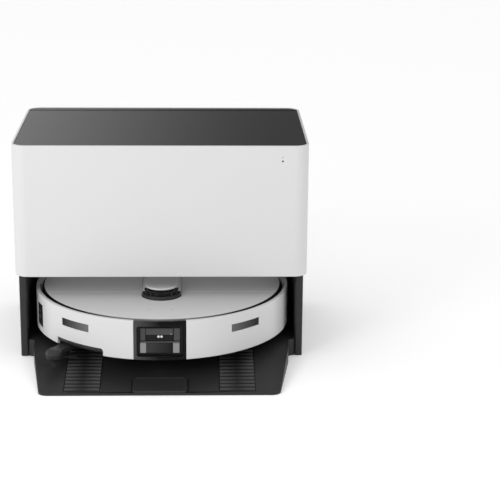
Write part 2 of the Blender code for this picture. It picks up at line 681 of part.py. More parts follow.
def make_top(robot):
    """Inner top plate, its two covers and the two buttons."""
    plate = prism(circle((0, ROBOT_Y), DECK_PLATE_RADIUS, ROUND), *DECK_PLATE)
    deck = piece("top_deck", plate, BLACK, robot)
    cut(deck, prism(circle((0, LIDAR_Y), LIDAR_HOLE), *DECK_CUT))
    room = BIN_ROOM
    cut(deck, block((-BIN_HALF_WIDTH - room, ROBOT_Y + BIN_Y[0] - room, DECK_CUT[0]),
                    (BIN_HALF_WIDTH + room, ROBOT_Y + BIN_Y[1] + room, DECK_CUT[1])))
    lean = math.degrees(math.asin(-SEAM / COVER_RADIUS))
    low = DECK_PLATE[1] + GAP
    seam = ROBOT_Y + SEAM
    front = arc((0, ROBOT_Y), COVER_RADIUS, 180 + lean + SEAM_ROOM, 360 - lean - SEAM_ROOM, 28)
    slot = arc((0, ROBOT_Y + TOWER_SLOT_CENTRE), TOWER_SLOT, 0, -180, 16)
    front += [(TOWER_SLOT, seam - GAP)] + slot + [(-TOWER_SLOT, seam - GAP)]
    cover = piece("front_cover", prism(front, low, ROBOT_TOP), WHITE, robot)
    for name, x in (("power_button", -BUTTON_X), ("home_button", BUTTON_X)):
        cut(cover, prism(circle((x, BUTTON_Y), BUTTON_RADIUS + GAP, 24), DECK_PLATE[0], ROBOT_TOP + 0.01))
        holder = pivot(name + "_slide", (x, BUTTON_Y, ROBOT_TOP), robot)
        piece(name, prism(circle((x, BUTTON_Y), BUTTON_RADIUS, 24), BUTTON_BOTTOM, ROBOT_TOP), WHITE, holder)
    rear = arc((0, ROBOT_Y), COVER_RADIUS, -lean + SEAM_ROOM, 180 + lean - SEAM_ROOM, 40)
    back = ROBOT_Y + TOWER_SLOT_BACK
    rear += [(-TOWER_SLOT, seam + GAP), (-TOWER_SLOT, back), (TOWER_SLOT, back), (TOWER_SLOT, seam + GAP)]
    lid_axis = pivot("rear_lid_lift", (0, ROBOT_Y, ROBOT_TOP), robot)
    piece("rear_lid", prism(rear, low, ROBOT_TOP), WHITE, lid_axis)


def make_lidar(robot):
    """Laser turret under its window and cap."""
    low = DECK_PLATE[1] + GAP
    back = ROBOT_Y + WINDOW_BACK
    heights = (low, WINDOW_TOP, WINDOW_TOP, low)
    loops = []
    for (half_width, centre, inset), z in zip(WINDOW_LEVELS, heights):
        outline = tower_outline(half_width, ROBOT_Y + centre, back + inset)
        loops.append([(x, y, z) for x, y in outline])
    piece("lidar_window", loft(loops, ring=True), GLOSS, robot)
    cap = tower_outline(CAP_HALF_WIDTH, ROBOT_Y + CAP_CENTRE, ROBOT_Y + CAP_BACK)
    piece("lidar_cap", prism(cap, *LIDAR_CAP_Z), WHITE, robot)
    turret = pivot("lidar_axis", (0, LIDAR_Y, 0.085), robot)
    rotor = piece("lidar_rotor", turned(ROTOR_PROFILE, (0, LIDAR_Y)), BLACK, turret)
    cut(rotor, block(ROTOR_NOTCH_LOW, ROTOR_NOTCH_HIGH))


def robot_block(x, y, z):
    """A box given by its ranges, with y measured from the robot's middle."""
    return block((x[0], ROBOT_Y + y[0], z[0]), (x[1], ROBOT_Y + y[1], z[1]))


def make_electronics(robot):
    """Camera module, battery and main board behind the bumper."""
    floor = INSIDE_FLOOR
    camera = robot_block((-CAMERA_HALF_WIDTH, CAMERA_HALF_WIDTH), CAMERA_Y, (floor, CAMERA_TOP))
    piece("camera_module", camera, BLACK, robot)
    piece("battery_pack", robot_block(BATTERY_X, BATTERY_Y, (floor, BATTERY_TOP)), GREY, robot)
    board = robot_block((-BOARD_HALF_WIDTH, BOARD_HALF_WIDTH), BOARD_Y, BOARD_Z)
    piece("main_board", board, BOARD, robot)


def make_dust_path(robot):
    """Dust bin and the fan that draws through it."""
    floor = INSIDE_FLOOR
    wall = THIN_WALL
    low = (-BIN_HALF_WIDTH, ROBOT_Y + BIN_Y[0])
    high = (BIN_HALF_WIDTH, ROBOT_Y + BIN_Y[1])
    outer = rounded_box(low, high, BIN_CORNER, 3)
    inner = rounded_box((low[0] + wall, low[1] + wall), (high[0] - wall, high[1] - wall),
                        BIN_CORNER - wall, 3)
    piece("dust_bin", cup(outer, inner, floor, BIN_TOP, floor + wall), CLEAR, robot)
    near, far = FAN_RADII
    casing = [(far, floor), (far, FAN_TOP), (near, FAN_TOP), (near, floor + wall)]
    piece("fan_housing", turned(casing, FAN_CENTRE), GREY, robot)
    fan_axis = pivot("fan_axis", (*FAN_CENTRE, FAN_PIVOT_Z), robot)
    root, tip = BLADE_RADII
    blades = []
    for number in range(BLADE_COUNT):
        angle = 360 / BLADE_COUNT * number
        blades += arc(FAN_CENTRE, tip, angle, angle + 9, 1)
        blades += arc(FAN_CENTRE, root, angle + 14, angle + 40, 1)
    piece("fan_impeller", prism(blades, *BLADE_Z), GREY, fan_axis)


def make_mops(robot):
    """Gearbox that lifts, with two spinning plates and their pads."""
    lift = pivot("mop_lift_axis", (0, MOP_Y, 0.050), robot)
    across, along = GEARBOX_HALF
    gearbox = block((-across, MOP_Y - along, GEARBOX_Z[0]), (across, MOP_Y + along, GEARBOX_Z[1]))
    piece("mop_gearbox", gearbox, GREY, lift)
    for word, side in (("left", -1), ("right", 1)):
        centre = (side * MOP_X, MOP_Y)
        axis = pivot(word + "_mop_axis", (*centre, 0.034), lift)
        piece(word + "_mop_plate", turned(MOP_PLATE, centre), GREY, axis)
        piece(word + "_mop_pad", turned(MOP_PAD, centre, ring=True), CLOTH, axis)


def make_main_brush(robot):
    """Roller with six rubber blades."""
    centre = (BRUSH_Y, BRUSH_Z)
    axis = pivot("main_brush_axis", (0, *centre), robot)
    outline = []
    for number in range(BRUSH_BLADES):
        angle = 360 / BRUSH_BLADES * number
        outline += arc(centre, BRUSH_RADIUS, angle, angle + 8, 1)
        outline += arc(centre, BRUSH_CORE, angle + 15, angle + 53, 2)
    piece("main_brush", side_prism(outline, -BRUSH_HALF_LENGTH, BRUSH_HALF_LENGTH), RUBBER, axis)


def make_drive(robot):
    """Sprung arms with a drive wheel each."""
    hub = (WHEEL_Y, DECK + GAP + WHEEL_RADIUS)
    knee = (ARM_PIVOT_Y, ARM_PIVOT_Z)
    for word, side in (("left", -1), ("right", 1)):
        arm_axis = pivot(word + "_arm_axis", (side * 0.08, *knee), robot)
        edges = sorted((side * ARM_X[0], side * ARM_X[1]))
        bar = link_outline(knee, hub, *ARM_RADII, 8)
        piece(word + "_wheel_arm", side_prism(bar, *edges), GREY, arm_axis)
        wheel_axis = pivot(word + "_wheel_axis", (side * WHEEL_X, *hub), arm_axis)
        profile = [(radius, side * x) for radius, x in HUB_PROFILE]
        piece(word + "_wheel_hub", wheel_turned(profile, hub), GREY, wheel_axis)
        rim = [(radius, side * x) for radius, x in TYRE_PROFILE]
        piece(word + "_tyre", wheel_turned(rim, hub, ring=True), RUBBER, wheel_axis)


def make_caster(robot):
    """Front wheel in a fork that turns freely."""
    swivel = pivot("caster_axis", (0, CASTER_Y, 0.045), robot)
    fork = piece("caster_fork", turned(FORK_PROFILE, (0, CASTER_Y), steps=24), GREY, swivel)
    middle = (CASTER_Y + CASTER_TRAIL, CASTER_HEIGHT)
    across, along = FORK_SLOT_HALF
    cut(fork, block((-across, middle[0] - along, BELOW_ROBOT), (across, middle[0] + along, FORK_SLOT_TOP)))
    roll = pivot("caster_roll_axis", (0, *middle), swivel)
    piece("caster_wheel", wheel_turned(CASTER_RIM, middle, steps=24), WHITE, roll)


def make_side_brush(robot):
    """Arm that swings out past the robot's edge, with the side brush under its end."""
    arm_axis = pivot("side_brush_arm_axis", (*SWEEPER_PIVOT, SWEEPER_ARM[0]), robot)
    outline = link_outline(SWEEPER_PIVOT, SWEEPER_HUB, SWEEPER_WIDTH, SWEEPER_WIDTH)
    piece("side_brush_arm", prism(outline, *SWEEPER_ARM), GREY, arm_axis)
    spin = pivot("side_brush_axis", (*SWEEPER_HUB, 0.032), arm_axis)
    profile = ((0.005, 0.0236), (0.0090, 0.0246), (SWEEPER_WIDTH, 0.0280),
               (SWEEPER_WIDTH, SWEEPER_ARM[0] - GAP))
    brush = piece("side_brush", turned(profile, SWEEPER_HUB, steps=24), RUBBER, spin)
    root, tip = TUFT_RADII
    bristles = []
    for number in range(3):
        angle = 120 * number + TUFT_LEAN
        bristles += arc(SWEEPER_HUB, tip, angle, angle + 6, 1)
        bristles += arc(SWEEPER_HUB, root, angle + 40, angle + 86, 1)
    join(brush, prism(bristles, *TUFT_Z))


def make_station():
    make_base()
    make_tracks()
    make_wash_tray()
    make_front_tab()
    make_bay()
    make_contacts()
    make_housing()
    make_power_inlet()
    make_lid()
    make_hinge_bar()
    make_tank("clean_water_tank", "clean_tank_cap", -1, CLEAR)
    make_tank("dirty_water_tank", "dirty_tank_cap", 1, GREY)
    make_dust_bay()


def make_robot():
    robot = pivot("robot", (0, ROBOT_Y, DECK))
    make_shells(robot)
    make_chassis(robot)
    make_top(robot)
    make_lidar(robot)
    make_electronics(robot)
    make_dust_path(robot)
    make_mops(robot)
    make_main_brush(robot)
    make_drive(robot)
    make_caster(robot)
    make_side_brush(robot)


make_station()
make_robot()
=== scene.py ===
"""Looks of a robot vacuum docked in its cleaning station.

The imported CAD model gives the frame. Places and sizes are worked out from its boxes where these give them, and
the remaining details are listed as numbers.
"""
import json
import math

import bmesh
import bpy
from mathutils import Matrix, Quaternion, Vector, noise


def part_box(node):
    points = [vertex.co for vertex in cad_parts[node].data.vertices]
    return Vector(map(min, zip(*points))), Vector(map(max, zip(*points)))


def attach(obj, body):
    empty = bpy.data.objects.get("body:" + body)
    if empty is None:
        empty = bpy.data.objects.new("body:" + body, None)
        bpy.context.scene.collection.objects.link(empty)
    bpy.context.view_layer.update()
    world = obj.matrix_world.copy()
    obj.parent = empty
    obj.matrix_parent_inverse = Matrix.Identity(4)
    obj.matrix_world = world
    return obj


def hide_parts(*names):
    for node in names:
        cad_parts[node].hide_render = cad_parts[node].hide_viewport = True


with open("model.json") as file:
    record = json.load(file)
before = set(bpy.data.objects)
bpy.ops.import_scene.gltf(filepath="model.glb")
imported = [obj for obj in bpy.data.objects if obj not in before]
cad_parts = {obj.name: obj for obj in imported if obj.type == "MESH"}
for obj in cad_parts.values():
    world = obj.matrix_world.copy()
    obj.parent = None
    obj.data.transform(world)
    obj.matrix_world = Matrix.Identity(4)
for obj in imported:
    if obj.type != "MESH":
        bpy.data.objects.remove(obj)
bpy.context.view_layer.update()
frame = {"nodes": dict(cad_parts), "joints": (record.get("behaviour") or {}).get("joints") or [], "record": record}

# ---------------------------------------------------------------- places read from the frame
HOUSING_LOW, HOUSING_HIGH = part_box("outer_housing")
LID_LOW, LID_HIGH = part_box("top_lid")
BASE_LOW, BASE_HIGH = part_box("base_plate")
BUMPER_LOW, BUMPER_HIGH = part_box("front_bumper")
CHASSIS_LOW, CHASSIS_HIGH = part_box("chassis")
COVER_LOW, COVER_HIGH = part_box("front_cover")
REAR_LID_LOW, REAR_LID_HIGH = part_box("rear_lid")
DECK_LOW, DECK_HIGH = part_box("top_deck")
CAP_LOW, CAP_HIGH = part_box("lidar_cap")
WINDOW_LOW, WINDOW_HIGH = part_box("lidar_window")
WALL_LOW, WALL_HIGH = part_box("right_side_wall")
TRACK_LOW, TRACK_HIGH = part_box("right_track")
TAB_LOW, TAB_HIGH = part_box("front_tab")
PANE_LOW, PANE_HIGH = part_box("camera_window")
HUB_LOW, HUB_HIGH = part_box("side_brush_arm")

ROBOT_Y = (CHASSIS_LOW.y + CHASSIS_HIGH.y) / 2
ROBOT_RADIUS = ROBOT_Y - BUMPER_LOW.y
ROBOT_BOTTOM = BUMPER_LOW.z
ROBOT_TOP = BUMPER_HIGH.z
COVER_RADIUS = (REAR_LID_HIGH.x - REAR_LID_LOW.x) / 2
DECK = BASE_HIGH.z
SEAM_Y = (COVER_HIGH.y + REAR_LID_LOW.y) / 2

# Details that the boxes don't give, in metres and degrees
GAP = 0.0003
HOUSING_CORNER = 0.019
HOUSING_WALL = 0.003
RIM_WIDTH = 0.0052
BUMPER_WALL = 0.0040
SENSOR_ANGLES = (32.5, 48.5)
SENSOR_HEIGHTS = (0.0667, 0.0774)
SIDE_SENSOR_ANGLES = (66.8, 76.6)
SIDE_SENSOR_HEIGHTS = (0.0456, 0.0781)
NOTCH_ANGLES = (25.3, 52.2)
NOTCH_TOP = 0.0476
PANE_HALF_ANGLE = 11.4
BUMPER_END = 90.0
NOTCH_CORNER = 0.0040
RAMP_END = -0.075
RAMP_LIP = 0.0025
TRACK_DEPTH = 0.0022


# ---------------------------------------------------------------- outlines
def arc(centre, radius, start, stop, steps):
    """Points on an arc in a plane, angles in degrees from the first axis."""
    points = []
    for step in range(steps + 1):
        angle = math.radians(start + (stop - start) * step / steps)
        points.append((centre[0] + radius * math.cos(angle), centre[1] + radius * math.sin(angle)))
    return points


def circle(centre, radius, steps=64):
    return arc(centre, radius, 0, 360, steps)[:-1]


def rounded_box(low, high, radius, steps=8):
    """Outline of a rectangle with round corners, counter-clockwise."""
    corners = ((high[0] - radius, high[1] - radius), (low[0] + radius, high[1] - radius),
               (low[0] + radius, low[1] + radius), (high[0] - radius, low[1] + radius))
    outline = []
    for number, corner in enumerate(corners):
        outline += arc(corner, radius, 90 * number, 90 * number + 90, steps)
    return outline


def tower_outline(half_width, front, back, corner=0.006):
    """Half-round front, straight sides and a blunt back."""
    outline = arc((0, front + half_width), half_width, 180, 360, 40)
    outline += arc((half_width - corner, back - corner), corner, 0, 90, 8)
    outline += arc((-half_width + corner, back - corner), corner, 90, 180, 8)
    return outline


def link_outline(start, stop, start_radius, stop_radius, steps=24):
    """Outline of a bar with round ends."""
    lean = math.degrees(math.atan2(stop[1] - start[1], stop[0] - start[0]))
    outline = arc(start, start_radius, lean + 90, lean + 270, steps)
    outline += arc(stop, stop_radius, lean - 90, lean + 90, steps)
    return outline


def soft_profile(radius, low, high, under, over, steps=5):
    """Half section of a turned solid from low to high, with round edges under and over it."""
    profile = [(radius * 0.02, low)]
    profile += arc((radius - under, low + under), under, -90, 0, steps)
    profile += arc((radius - over, high - over), over, 0, 90, steps)
    return profile + [(radius * 0.02, high)]


def centre_of(node):
    low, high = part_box(node)
    return (low + high) / 2


def around_robot(radius, degrees):
    """A point at this radius and this angle from the robot's front, towards +X."""
    angle = math.radians(degrees)
    return radius * math.sin(angle), ROBOT_Y - radius * math.cos(angle)


def ramp(y):
    """Height of the ramp's surface."""
    share = (y - BASE_LOW.y) / (RAMP_END - BASE_LOW.y)
    return RAMP_LIP + (DECK - RAMP_LIP) * min(share, 1.0)


# ---------------------------------------------------------------- solids
def loft(loops, ring=False):
    """Skin of quads over loops of equal length. A ring joins its last loop to its first."""
    mesh = bmesh.new()
    rows = [[mesh.verts.new(point) for point in loop] for loop in loops]
    count = len(rows[0])
    last = len(rows) if ring else len(rows) - 1
    for index in range(last):
        near = rows[index]
        far = rows[(index + 1) % len(rows)]
        for corner in range(count):
            after = (corner + 1) % count
            mesh.faces.new((near[corner], near[after], far[after], far[corner]))
    if not ring:
        mesh.faces.new(rows[0])
        mesh.faces.new(rows[-1])
    bmesh.ops.recalc_face_normals(mesh, faces=mesh.faces)
    return mesh


def level(outline, z):
    return [(x, y, z) for x, y in outline]


def prism(outline, low, high):
    return loft([level(outline, low), level(outline, high)])


def side_prism(outline, left, right):
    """A (y, z) outline pulled along X."""
    return loft([[(x, y, z) for y, z in outline] for x in (left, right)])


def front_prism(outline, front, back):
    """An (x, z) outline pulled along Y."""
    return loft([[(x, y, z) for x, z in outline] for y in (front, back)])


def block(low, high):
    outline = ((low[0], low[1]), (high[0], low[1]), (high[0], high[1]), (low[0], high[1]))
    return prism(outline, low[2], high[2])


def turned(profile, centre, ring=False, steps=64):
    """A (radius, z) profile turned about the vertical through centre."""
    return loft([level(circle(centre, radius, steps), z) for radius, z in profile], ring)


def wheel_turned(profile, centre, ring=False, steps=64):
    """A (radius, x) profile turned about the X line through centre (y, z)."""
    loops = [[(x, y, z) for y, z in circle(centre, radius, steps)] for radius, x in profile]
    return loft(loops, ring)


def sweep_along(profile_at, angles):
    """A (radius, z) profile that may change with the angle, swept about the robot's centre."""
    return loft([[(*around_robot(radius, degrees), z) for radius, z in profile_at(degrees)]
                 for degrees in angles])


def even_angles(start, stop, steps):
    return [start + (stop - start) * step / steps for step in range(steps + 1)]


def sweep(profile, start, stop, steps):
    """A (radius, z) profile swept about the robot's centre between two angles from its front."""
    return sweep_along(lambda degrees: profile, even_angles(start, stop, steps))


def merge(meshes):
    """Several closed meshes in one."""
    whole = bmesh.new()
    for mesh in meshes:
        data = bpy.data.meshes.new("part")
        mesh.to_mesh(data)
        mesh.free()
        whole.from_mesh(data)
        bpy.data.meshes.remove(data)
    return whole


# ---------------------------------------------------------------- objects
def link(name, mesh):
    data = bpy.data.meshes.new(name)
    mesh.to_mesh(data)
    mesh.free()
    item = bpy.data.objects.new(name, data)
    bpy.context.scene.collection.objects.link(item)
    return item


def boolean(item, mesh, operation="DIFFERENCE"):
    """Cut a mesh out of an object, or join it on, and keep the result."""
    tool = link("tool", mesh)
    step = item.modifiers.new("cut", "BOOLEAN")
    step.operation = operation
    step.object = tool
    bake(item)
    bpy.data.objects.remove(tool, do_unlink=True)


def bake(item):
    """Turn an object's modifiers into its mesh."""
    graph = bpy.context.evaluated_depsgraph_get()
    data = bpy.data.meshes.new_from_object(item.evaluated_get(graph))
    item.modifiers.clear()
    old = item.data
    item.data = data
    bpy.data.meshes.remove(old)


def drop_slivers(item):
    """Dissolve faces without area, which a bevel leaves where edges lie close together."""
    mesh = bmesh.new()
    mesh.from_mesh(item.data)
    bmesh.ops.dissolve_degenerate(mesh, dist=2e-6, edges=mesh.edges)
    mesh.to_mesh(item.data)
    mesh.free()


def soften(item, width, segments=3, angle=30):
    """Round an object's edges and shade it smooth."""
    if width:
        step = item.modifiers.new("round", "BEVEL")
        step.width = width
        step.segments = segments
        step.limit_method = "ANGLE"
        step.angle_limit = math.radians(angle)
        step.use_clamp_overlap = True
        bake(item)
        drop_slivers(item)
    item.data.shade_smooth()
    item.data.set_sharp_from_angle(angle=math.radians(35))
    weigh = item.modifiers.new("normals", "WEIGHTED_NORMAL")
    weigh.keep_sharp = True
    bake(item)


def body_of(node):
    for body, members in frame["record"]["behaviour"]["bodies"].items():
        if node in members:
            return body
    raise KeyError(node)


def slot_of(node):
    for entry in frame["record"]["subparts"]:
        if entry["node"] == node:
            return entry["material_slot"]
    raise KeyError(node)


def place(item, material, node, replaces=True):
    """Give a finished piece its material and body, and let it stand for its CAD node."""
    item.data.materials.clear()
    item.data.materials.append(material)
    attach(item, body_of(node))
    if replaces:
        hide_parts(node)
    return item


def piece(name, mesh, material, node, rounding=0.0004, replaces=True, cuts=()):
    """A rounded solid that stands for a CAD node, or adds a detail to one."""
    item = link(name, mesh)
    for cutter in cuts:
        boolean(item, cutter)
    soften(item, rounding)
    return place(item, material, node, replaces)


# ---------------------------------------------------------------- materials
def shader_for(name):
    material = bpy.data.materials.new(name)
    material.use_nodes = True
    tree = material.node_tree
    return material, tree, tree.nodes["Principled BSDF"]


def add_noise(tree, scale, detail=4.0, roughness=0.5):
    place_node = tree.nodes.get("Place") or tree.nodes.new("ShaderNodeTexCoord")
    place_node.name = "Place"
    node = tree.nodes.new("ShaderNodeTexNoise")
    node.inputs["Scale"].default_value = scale
    node.inputs["Detail"].default_value = detail
    node.inputs["Roughness"].default_value = roughness
    tree.links.new(place_node.outputs["Object"], node.inputs["Vector"])
    return node.outputs["Fac"]


def spread(tree, value, low, high):
    """Map a 0 to 1 value to a range."""
    node = tree.nodes.new("ShaderNodeMapRange")
    node.inputs["From Min"].default_value = 0.3
    node.inputs["From Max"].default_value = 0.7
    node.inputs["To Min"].default_value = low
    node.inputs["To Max"].default_value = high
    tree.links.new(value, node.inputs["Value"])
    return node.outputs["Result"]


def tint(tree, value, dark, light):
    """Blend two colours by a value."""
    node = tree.nodes.new("ShaderNodeMix")
    node.data_type = "RGBA"
    tree.links.new(value, node.inputs["Factor"])
    node.inputs["A"].default_value = (*dark, 1.0)
    node.inputs["B"].default_value = (*light, 1.0)
    return node.outputs["Result"]


def bump(tree, shader, value, height):
    """Raise the surface by a value, height in metres."""
    node = tree.nodes.new("ShaderNodeBump")
    node.inputs["Strength"].default_value = 1.0
    node.inputs["Distance"].default_value = height
    tree.links.new(value, node.inputs["Height"])
    tree.links.new(node.outputs["Normal"], shader.inputs["Normal"])


def moulded(name, colour, roughness, grain=1800.0, depth=0.00001, drift=0.03, specular=0.5, coat=0.0):
    """Injection-moulded plastic: fine spark-eroded grain, slight drift in colour and in sheen."""
    material, tree, shader = shader_for(name)
    broad = add_noise(tree, 14.0, 2.0)
    fine = add_noise(tree, grain, 3.0, 0.6)
    dark = [channel * (1 - drift) for channel in colour]
    light = [min(channel * (1 + drift), 1.0) for channel in colour]
    tree.links.new(tint(tree, broad, dark, light), shader.inputs["Base Color"])
    tree.links.new(spread(tree, fine, roughness * 0.92, roughness * 1.08), shader.inputs["Roughness"])
    shader.inputs["Specular IOR Level"].default_value = specular
    shader.inputs["Coat Weight"].default_value = coat
    shader.inputs["Coat Roughness"].default_value = 0.08
    bump(tree, shader, fine, depth)
    return material


def by_place(tree, axis, low, high):
    """0 at low and 1 at high along one of the object's axes."""
    place_node = tree.nodes.get("Place") or tree.nodes.new("ShaderNodeTexCoord")
    place_node.name = "Place"
    split = tree.nodes.new("ShaderNodeSeparateXYZ")
    tree.links.new(place_node.outputs["Object"], split.inputs[0])
    node = tree.nodes.new("ShaderNodeMapRange")
    node.inputs["From Min"].default_value = low
    node.inputs["From Max"].default_value = high
    tree.links.new(split.outputs[axis], node.inputs["Value"])
    return node.outputs["Result"]


def smoked_painted_light(name, low, high, first, last, roughness=0.18, specular=0.15):
    """Tinted window plastic whose tone runs from first to last between two places along X: the run of tone is
    painted light across the pane, not the plastic's own tint.
    """
    material, tree, shader = shader_for(name)
    tree.links.new(tint(tree, by_place(tree, "X", low, high), first, last), shader.inputs["Base Color"])
    fine = add_noise(tree, 600.0, 2.0)
    tree.links.new(spread(tree, fine, roughness * 0.9, roughness * 1.1), shader.inputs["Roughness"])
    shader.inputs["Specular IOR Level"].default_value = specular
    return material


def channel_painted_shade(name, front, sides):
    """Ring that paints the shade in the channel round the covers: painted shade, black round the robot's sides,
    and pale at the robot's front, where the channel is lit.
    """
    material = moulded(name, sides, 0.5, drift=0.1, specular=0.2)
    tree = material.node_tree
    place = by_place(tree, "Y", ROBOT_Y - COVER_RADIUS * 0.97, ROBOT_Y - COVER_RADIUS * 0.80)
    tree.links.new(tint(tree, place, front, sides), tree.nodes["Principled BSDF"].inputs["Base Color"])
    return material


def ribbed_rubber(name, low, high, groove, lit_top):
    """Rubber with painted shade, dark in its grooves, and painted light on the rib tops, measured up from the
    ramp.
    """
    material = moulded(name, groove, 0.62, grain=900.0, depth=0.00003, drift=0.15, specular=0.3)
    tree = material.node_tree
    split = tree.nodes.new("ShaderNodeSeparateXYZ")
    tree.links.new(tree.nodes["Place"].outputs["Object"], split.inputs[0])
    fall = tree.nodes.new("ShaderNodeMath")
    fall.operation = "MULTIPLY_ADD"
    tree.links.new(split.outputs["Y"], fall.inputs[0])
    fall.inputs[1].default_value = -(DECK - RAMP_LIP) / (RAMP_END - BASE_LOW.y)
    tree.links.new(split.outputs["Z"], fall.inputs[2])
    node = tree.nodes.new("ShaderNodeMapRange")
    node.inputs["From Min"].default_value = low
    node.inputs["From Max"].default_value = high
    tree.links.new(fall.outputs[0], node.inputs["Value"])
    shader = tree.nodes["Principled BSDF"]
    tree.links.new(tint(tree, node.outputs["Result"], groove, lit_top), shader.inputs["Base Color"])
    return material


def cloth(name, dark, light, scale, depth):
    """Fibrous fabric: mottled colour, matt, with a soft sheen and a raised nap."""
    material, tree, shader = shader_for(name)
    nap = add_noise(tree, scale, 6.0, 0.7)
    tree.links.new(tint(tree, nap, dark, light), shader.inputs["Base Color"])
    shader.inputs["Roughness"].default_value = 0.95
    shader.inputs["Specular IOR Level"].default_value = 0.2
    shader.inputs["Sheen Weight"].default_value = 0.35
    shader.inputs["Sheen Roughness"].default_value = 0.6
    bump(tree, shader, nap, depth)
    return material


def metal(name, colour, roughness):
    """Plated metal with fine wear."""
    material, tree, shader = shader_for(name)
    wear = add_noise(tree, 420.0, 5.0, 0.65)
    dark = [channel * 0.8 for channel in colour]
    tree.links.new(tint(tree, wear, dark, colour), shader.inputs["Base Color"])
    tree.links.new(spread(tree, wear, roughness, roughness * 1.7), shader.inputs["Roughness"])
    shader.inputs["Metallic"].default_value = 1.0
    return material


def circuit(name):
    """Green board with lighter copper tracks under the lacquer."""
    material, tree, shader = shader_for(name)
    place_node = tree.nodes.new("ShaderNodeTexCoord")
    tracks = tree.nodes.new("ShaderNodeTexBrick")
    tracks.inputs["Scale"].default_value = 160.0
    tracks.inputs["Color1"].default_value = (0.010, 0.120, 0.045, 1.0)
    tracks.inputs["Color2"].default_value = (0.012, 0.100, 0.040, 1.0)
    tracks.inputs["Mortar"].default_value = (0.040, 0.220, 0.090, 1.0)
    tracks.inputs["Mortar Size"].default_value = 0.03
    tree.links.new(place_node.outputs["Object"], tracks.inputs["Vector"])
    tree.links.new(tracks.outputs["Color"], shader.inputs["Base Color"])
    shader.inputs["Roughness"].default_value = 0.4
    return material


def clear_smoke(name):
    """Smoke-tinted tank plastic that lets some light through."""
    material = moulded(name, (0.20, 0.22, 0.24), 0.16, depth=0.000002, drift=0.05)
    material.node_tree.nodes["Principled BSDF"].inputs["Transmission Weight"].default_value = 0.45
    return material


def lamp(name, colour, strength):
    """Small part that glows by its strength; where it glows, the glow is painted light, not a lit lamp."""
    material = moulded(name, colour, 0.3, drift=0.02)
    shader = material.node_tree.nodes["Principled BSDF"]
    shader.inputs["Emission Color"].default_value = (*colour, 1.0)
    shader.inputs["Emission Strength"].default_value = strength
    return material


WHITE_SHELL = moulded("satin_white_plastic", (0.665, 0.665, 0.665), 0.38, depth=0.000006, drift=0.008)
ROBOT_WHITE = moulded("robot_white_plastic", (0.64, 0.64, 0.64), 0.30, depth=0.000004, drift=0.008)
LID_DARK = moulded("lid_dark_gloss", (0.018, 0.018, 0.019), 0.22, grain=2600.0, depth=0.000002, drift=0.06)
BLACK_MATT = moulded("black_matt_plastic", (0.019, 0.019, 0.020), 0.50, grain=1400.0, depth=0.00002,
                     drift=0.10, specular=0.35)
WALL_BLACK = moulded("wall_black_plastic", (0.018, 0.018, 0.019), 0.42, grain=1400.0, depth=0.000012,
                     drift=0.10, specular=0.35)
BLACK_GLOSS = moulded("black_gloss_plastic", (0.004, 0.004, 0.0045), 0.12, grain=2600.0, depth=0.000001,
                      drift=0.10, specular=0.25)
GREY_MATT = moulded("grey_matt_plastic", (0.050, 0.050, 0.053), 0.48, depth=0.000015, drift=0.08)
TRIM_GREY = moulded("trim_grey_plastic", (0.028, 0.028, 0.030), 0.42, depth=0.000010, drift=0.10, specular=0.3)
PANEL_GREY = moulded("panel_grey_plastic", (0.24, 0.24, 0.245), 0.35, drift=0.12, specular=0.2)
PANEL_RAIL = moulded("panel_rail_plastic", (0.115, 0.115, 0.118), 0.35, drift=0.12, specular=0.2)
PANEL_MID = moulded("panel_mid_plastic", (0.058, 0.058, 0.060), 0.40, grain=500.0, drift=0.35, specular=0.15)
PANEL_DARK = moulded("panel_dark_plastic", (0.006, 0.006, 0.0065), 0.25, drift=0.25, specular=0.15)
ICON_GREY = moulded("icon_grey_ink", (0.42, 0.42, 0.42), 0.50, drift=0.05)
RUBBER = moulded("black_rubber", (0.018, 0.018, 0.018), 0.62, grain=900.0, depth=0.00003, drift=0.15,
                 specular=0.3)
RAMP_ZERO = RAMP_LIP - BASE_LOW.y * (DECK - RAMP_LIP) / (RAMP_END - BASE_LOW.y)
# Painted shade in the track grooves and painted light on the rib tops.
TRACK_RUBBER = ribbed_rubber("track_rubber", RAMP_ZERO - 0.0006, RAMP_ZERO + 0.0008, (0.005, 0.005, 0.005),
                             (0.058, 0.058, 0.059))
# Painted shade: a ring in the channel between covers and bumper, black at the sides and pale at the lit front.
CHANNEL_PAINTED_SHADE = channel_painted_shade("channel_painted_shade_plastic", (0.20, 0.20, 0.20), (0.004, 0.004, 0.004))
SEAL_WHITE = moulded("seal_white_rubber", (0.55, 0.55, 0.54), 0.60, drift=0.05)
MOP_CLOTH = cloth("mop_looped_cloth", (0.44, 0.44, 0.42), (0.70, 0.70, 0.68), 700.0, 0.0005)
BAG_CLOTH = cloth("bag_nonwoven_cloth", (0.66, 0.67, 0.66), (0.80, 0.81, 0.80), 1500.0, 0.0002)
TEAL_CARD = cloth("teal_card", (0.010, 0.250, 0.250), (0.020, 0.330, 0.330), 900.0, 0.00006)
STEEL = metal("bright_steel", (0.56, 0.56, 0.57), 0.22)
CONTACT_METAL = metal("contact_plating", (0.72, 0.58, 0.34), 0.22)
CIRCUIT_BOARD = circuit("circuit_board")
SMOKE_TANK = clear_smoke("smoke_tank_plastic")
# Painted light: a faint glow lifts the camera's white dots out of the shade of their recess.
WHITE_PAINTED_GLOW = lamp("white_painted_glow", (0.55, 0.55, 0.55), 0.25)
STATUS_DARK = lamp("status_lens", (0.05, 0.05, 0.05), 0.0)


# ---------------------------------------------------------------- station
def housing_outline(inset=0.0, steps=12):
    return rounded_box((HOUSING_LOW.x + inset, HOUSING_LOW.y + inset),
                       (HOUSING_HIGH.x - inset, HOUSING_HIGH.y - inset), HOUSING_CORNER - inset, steps)


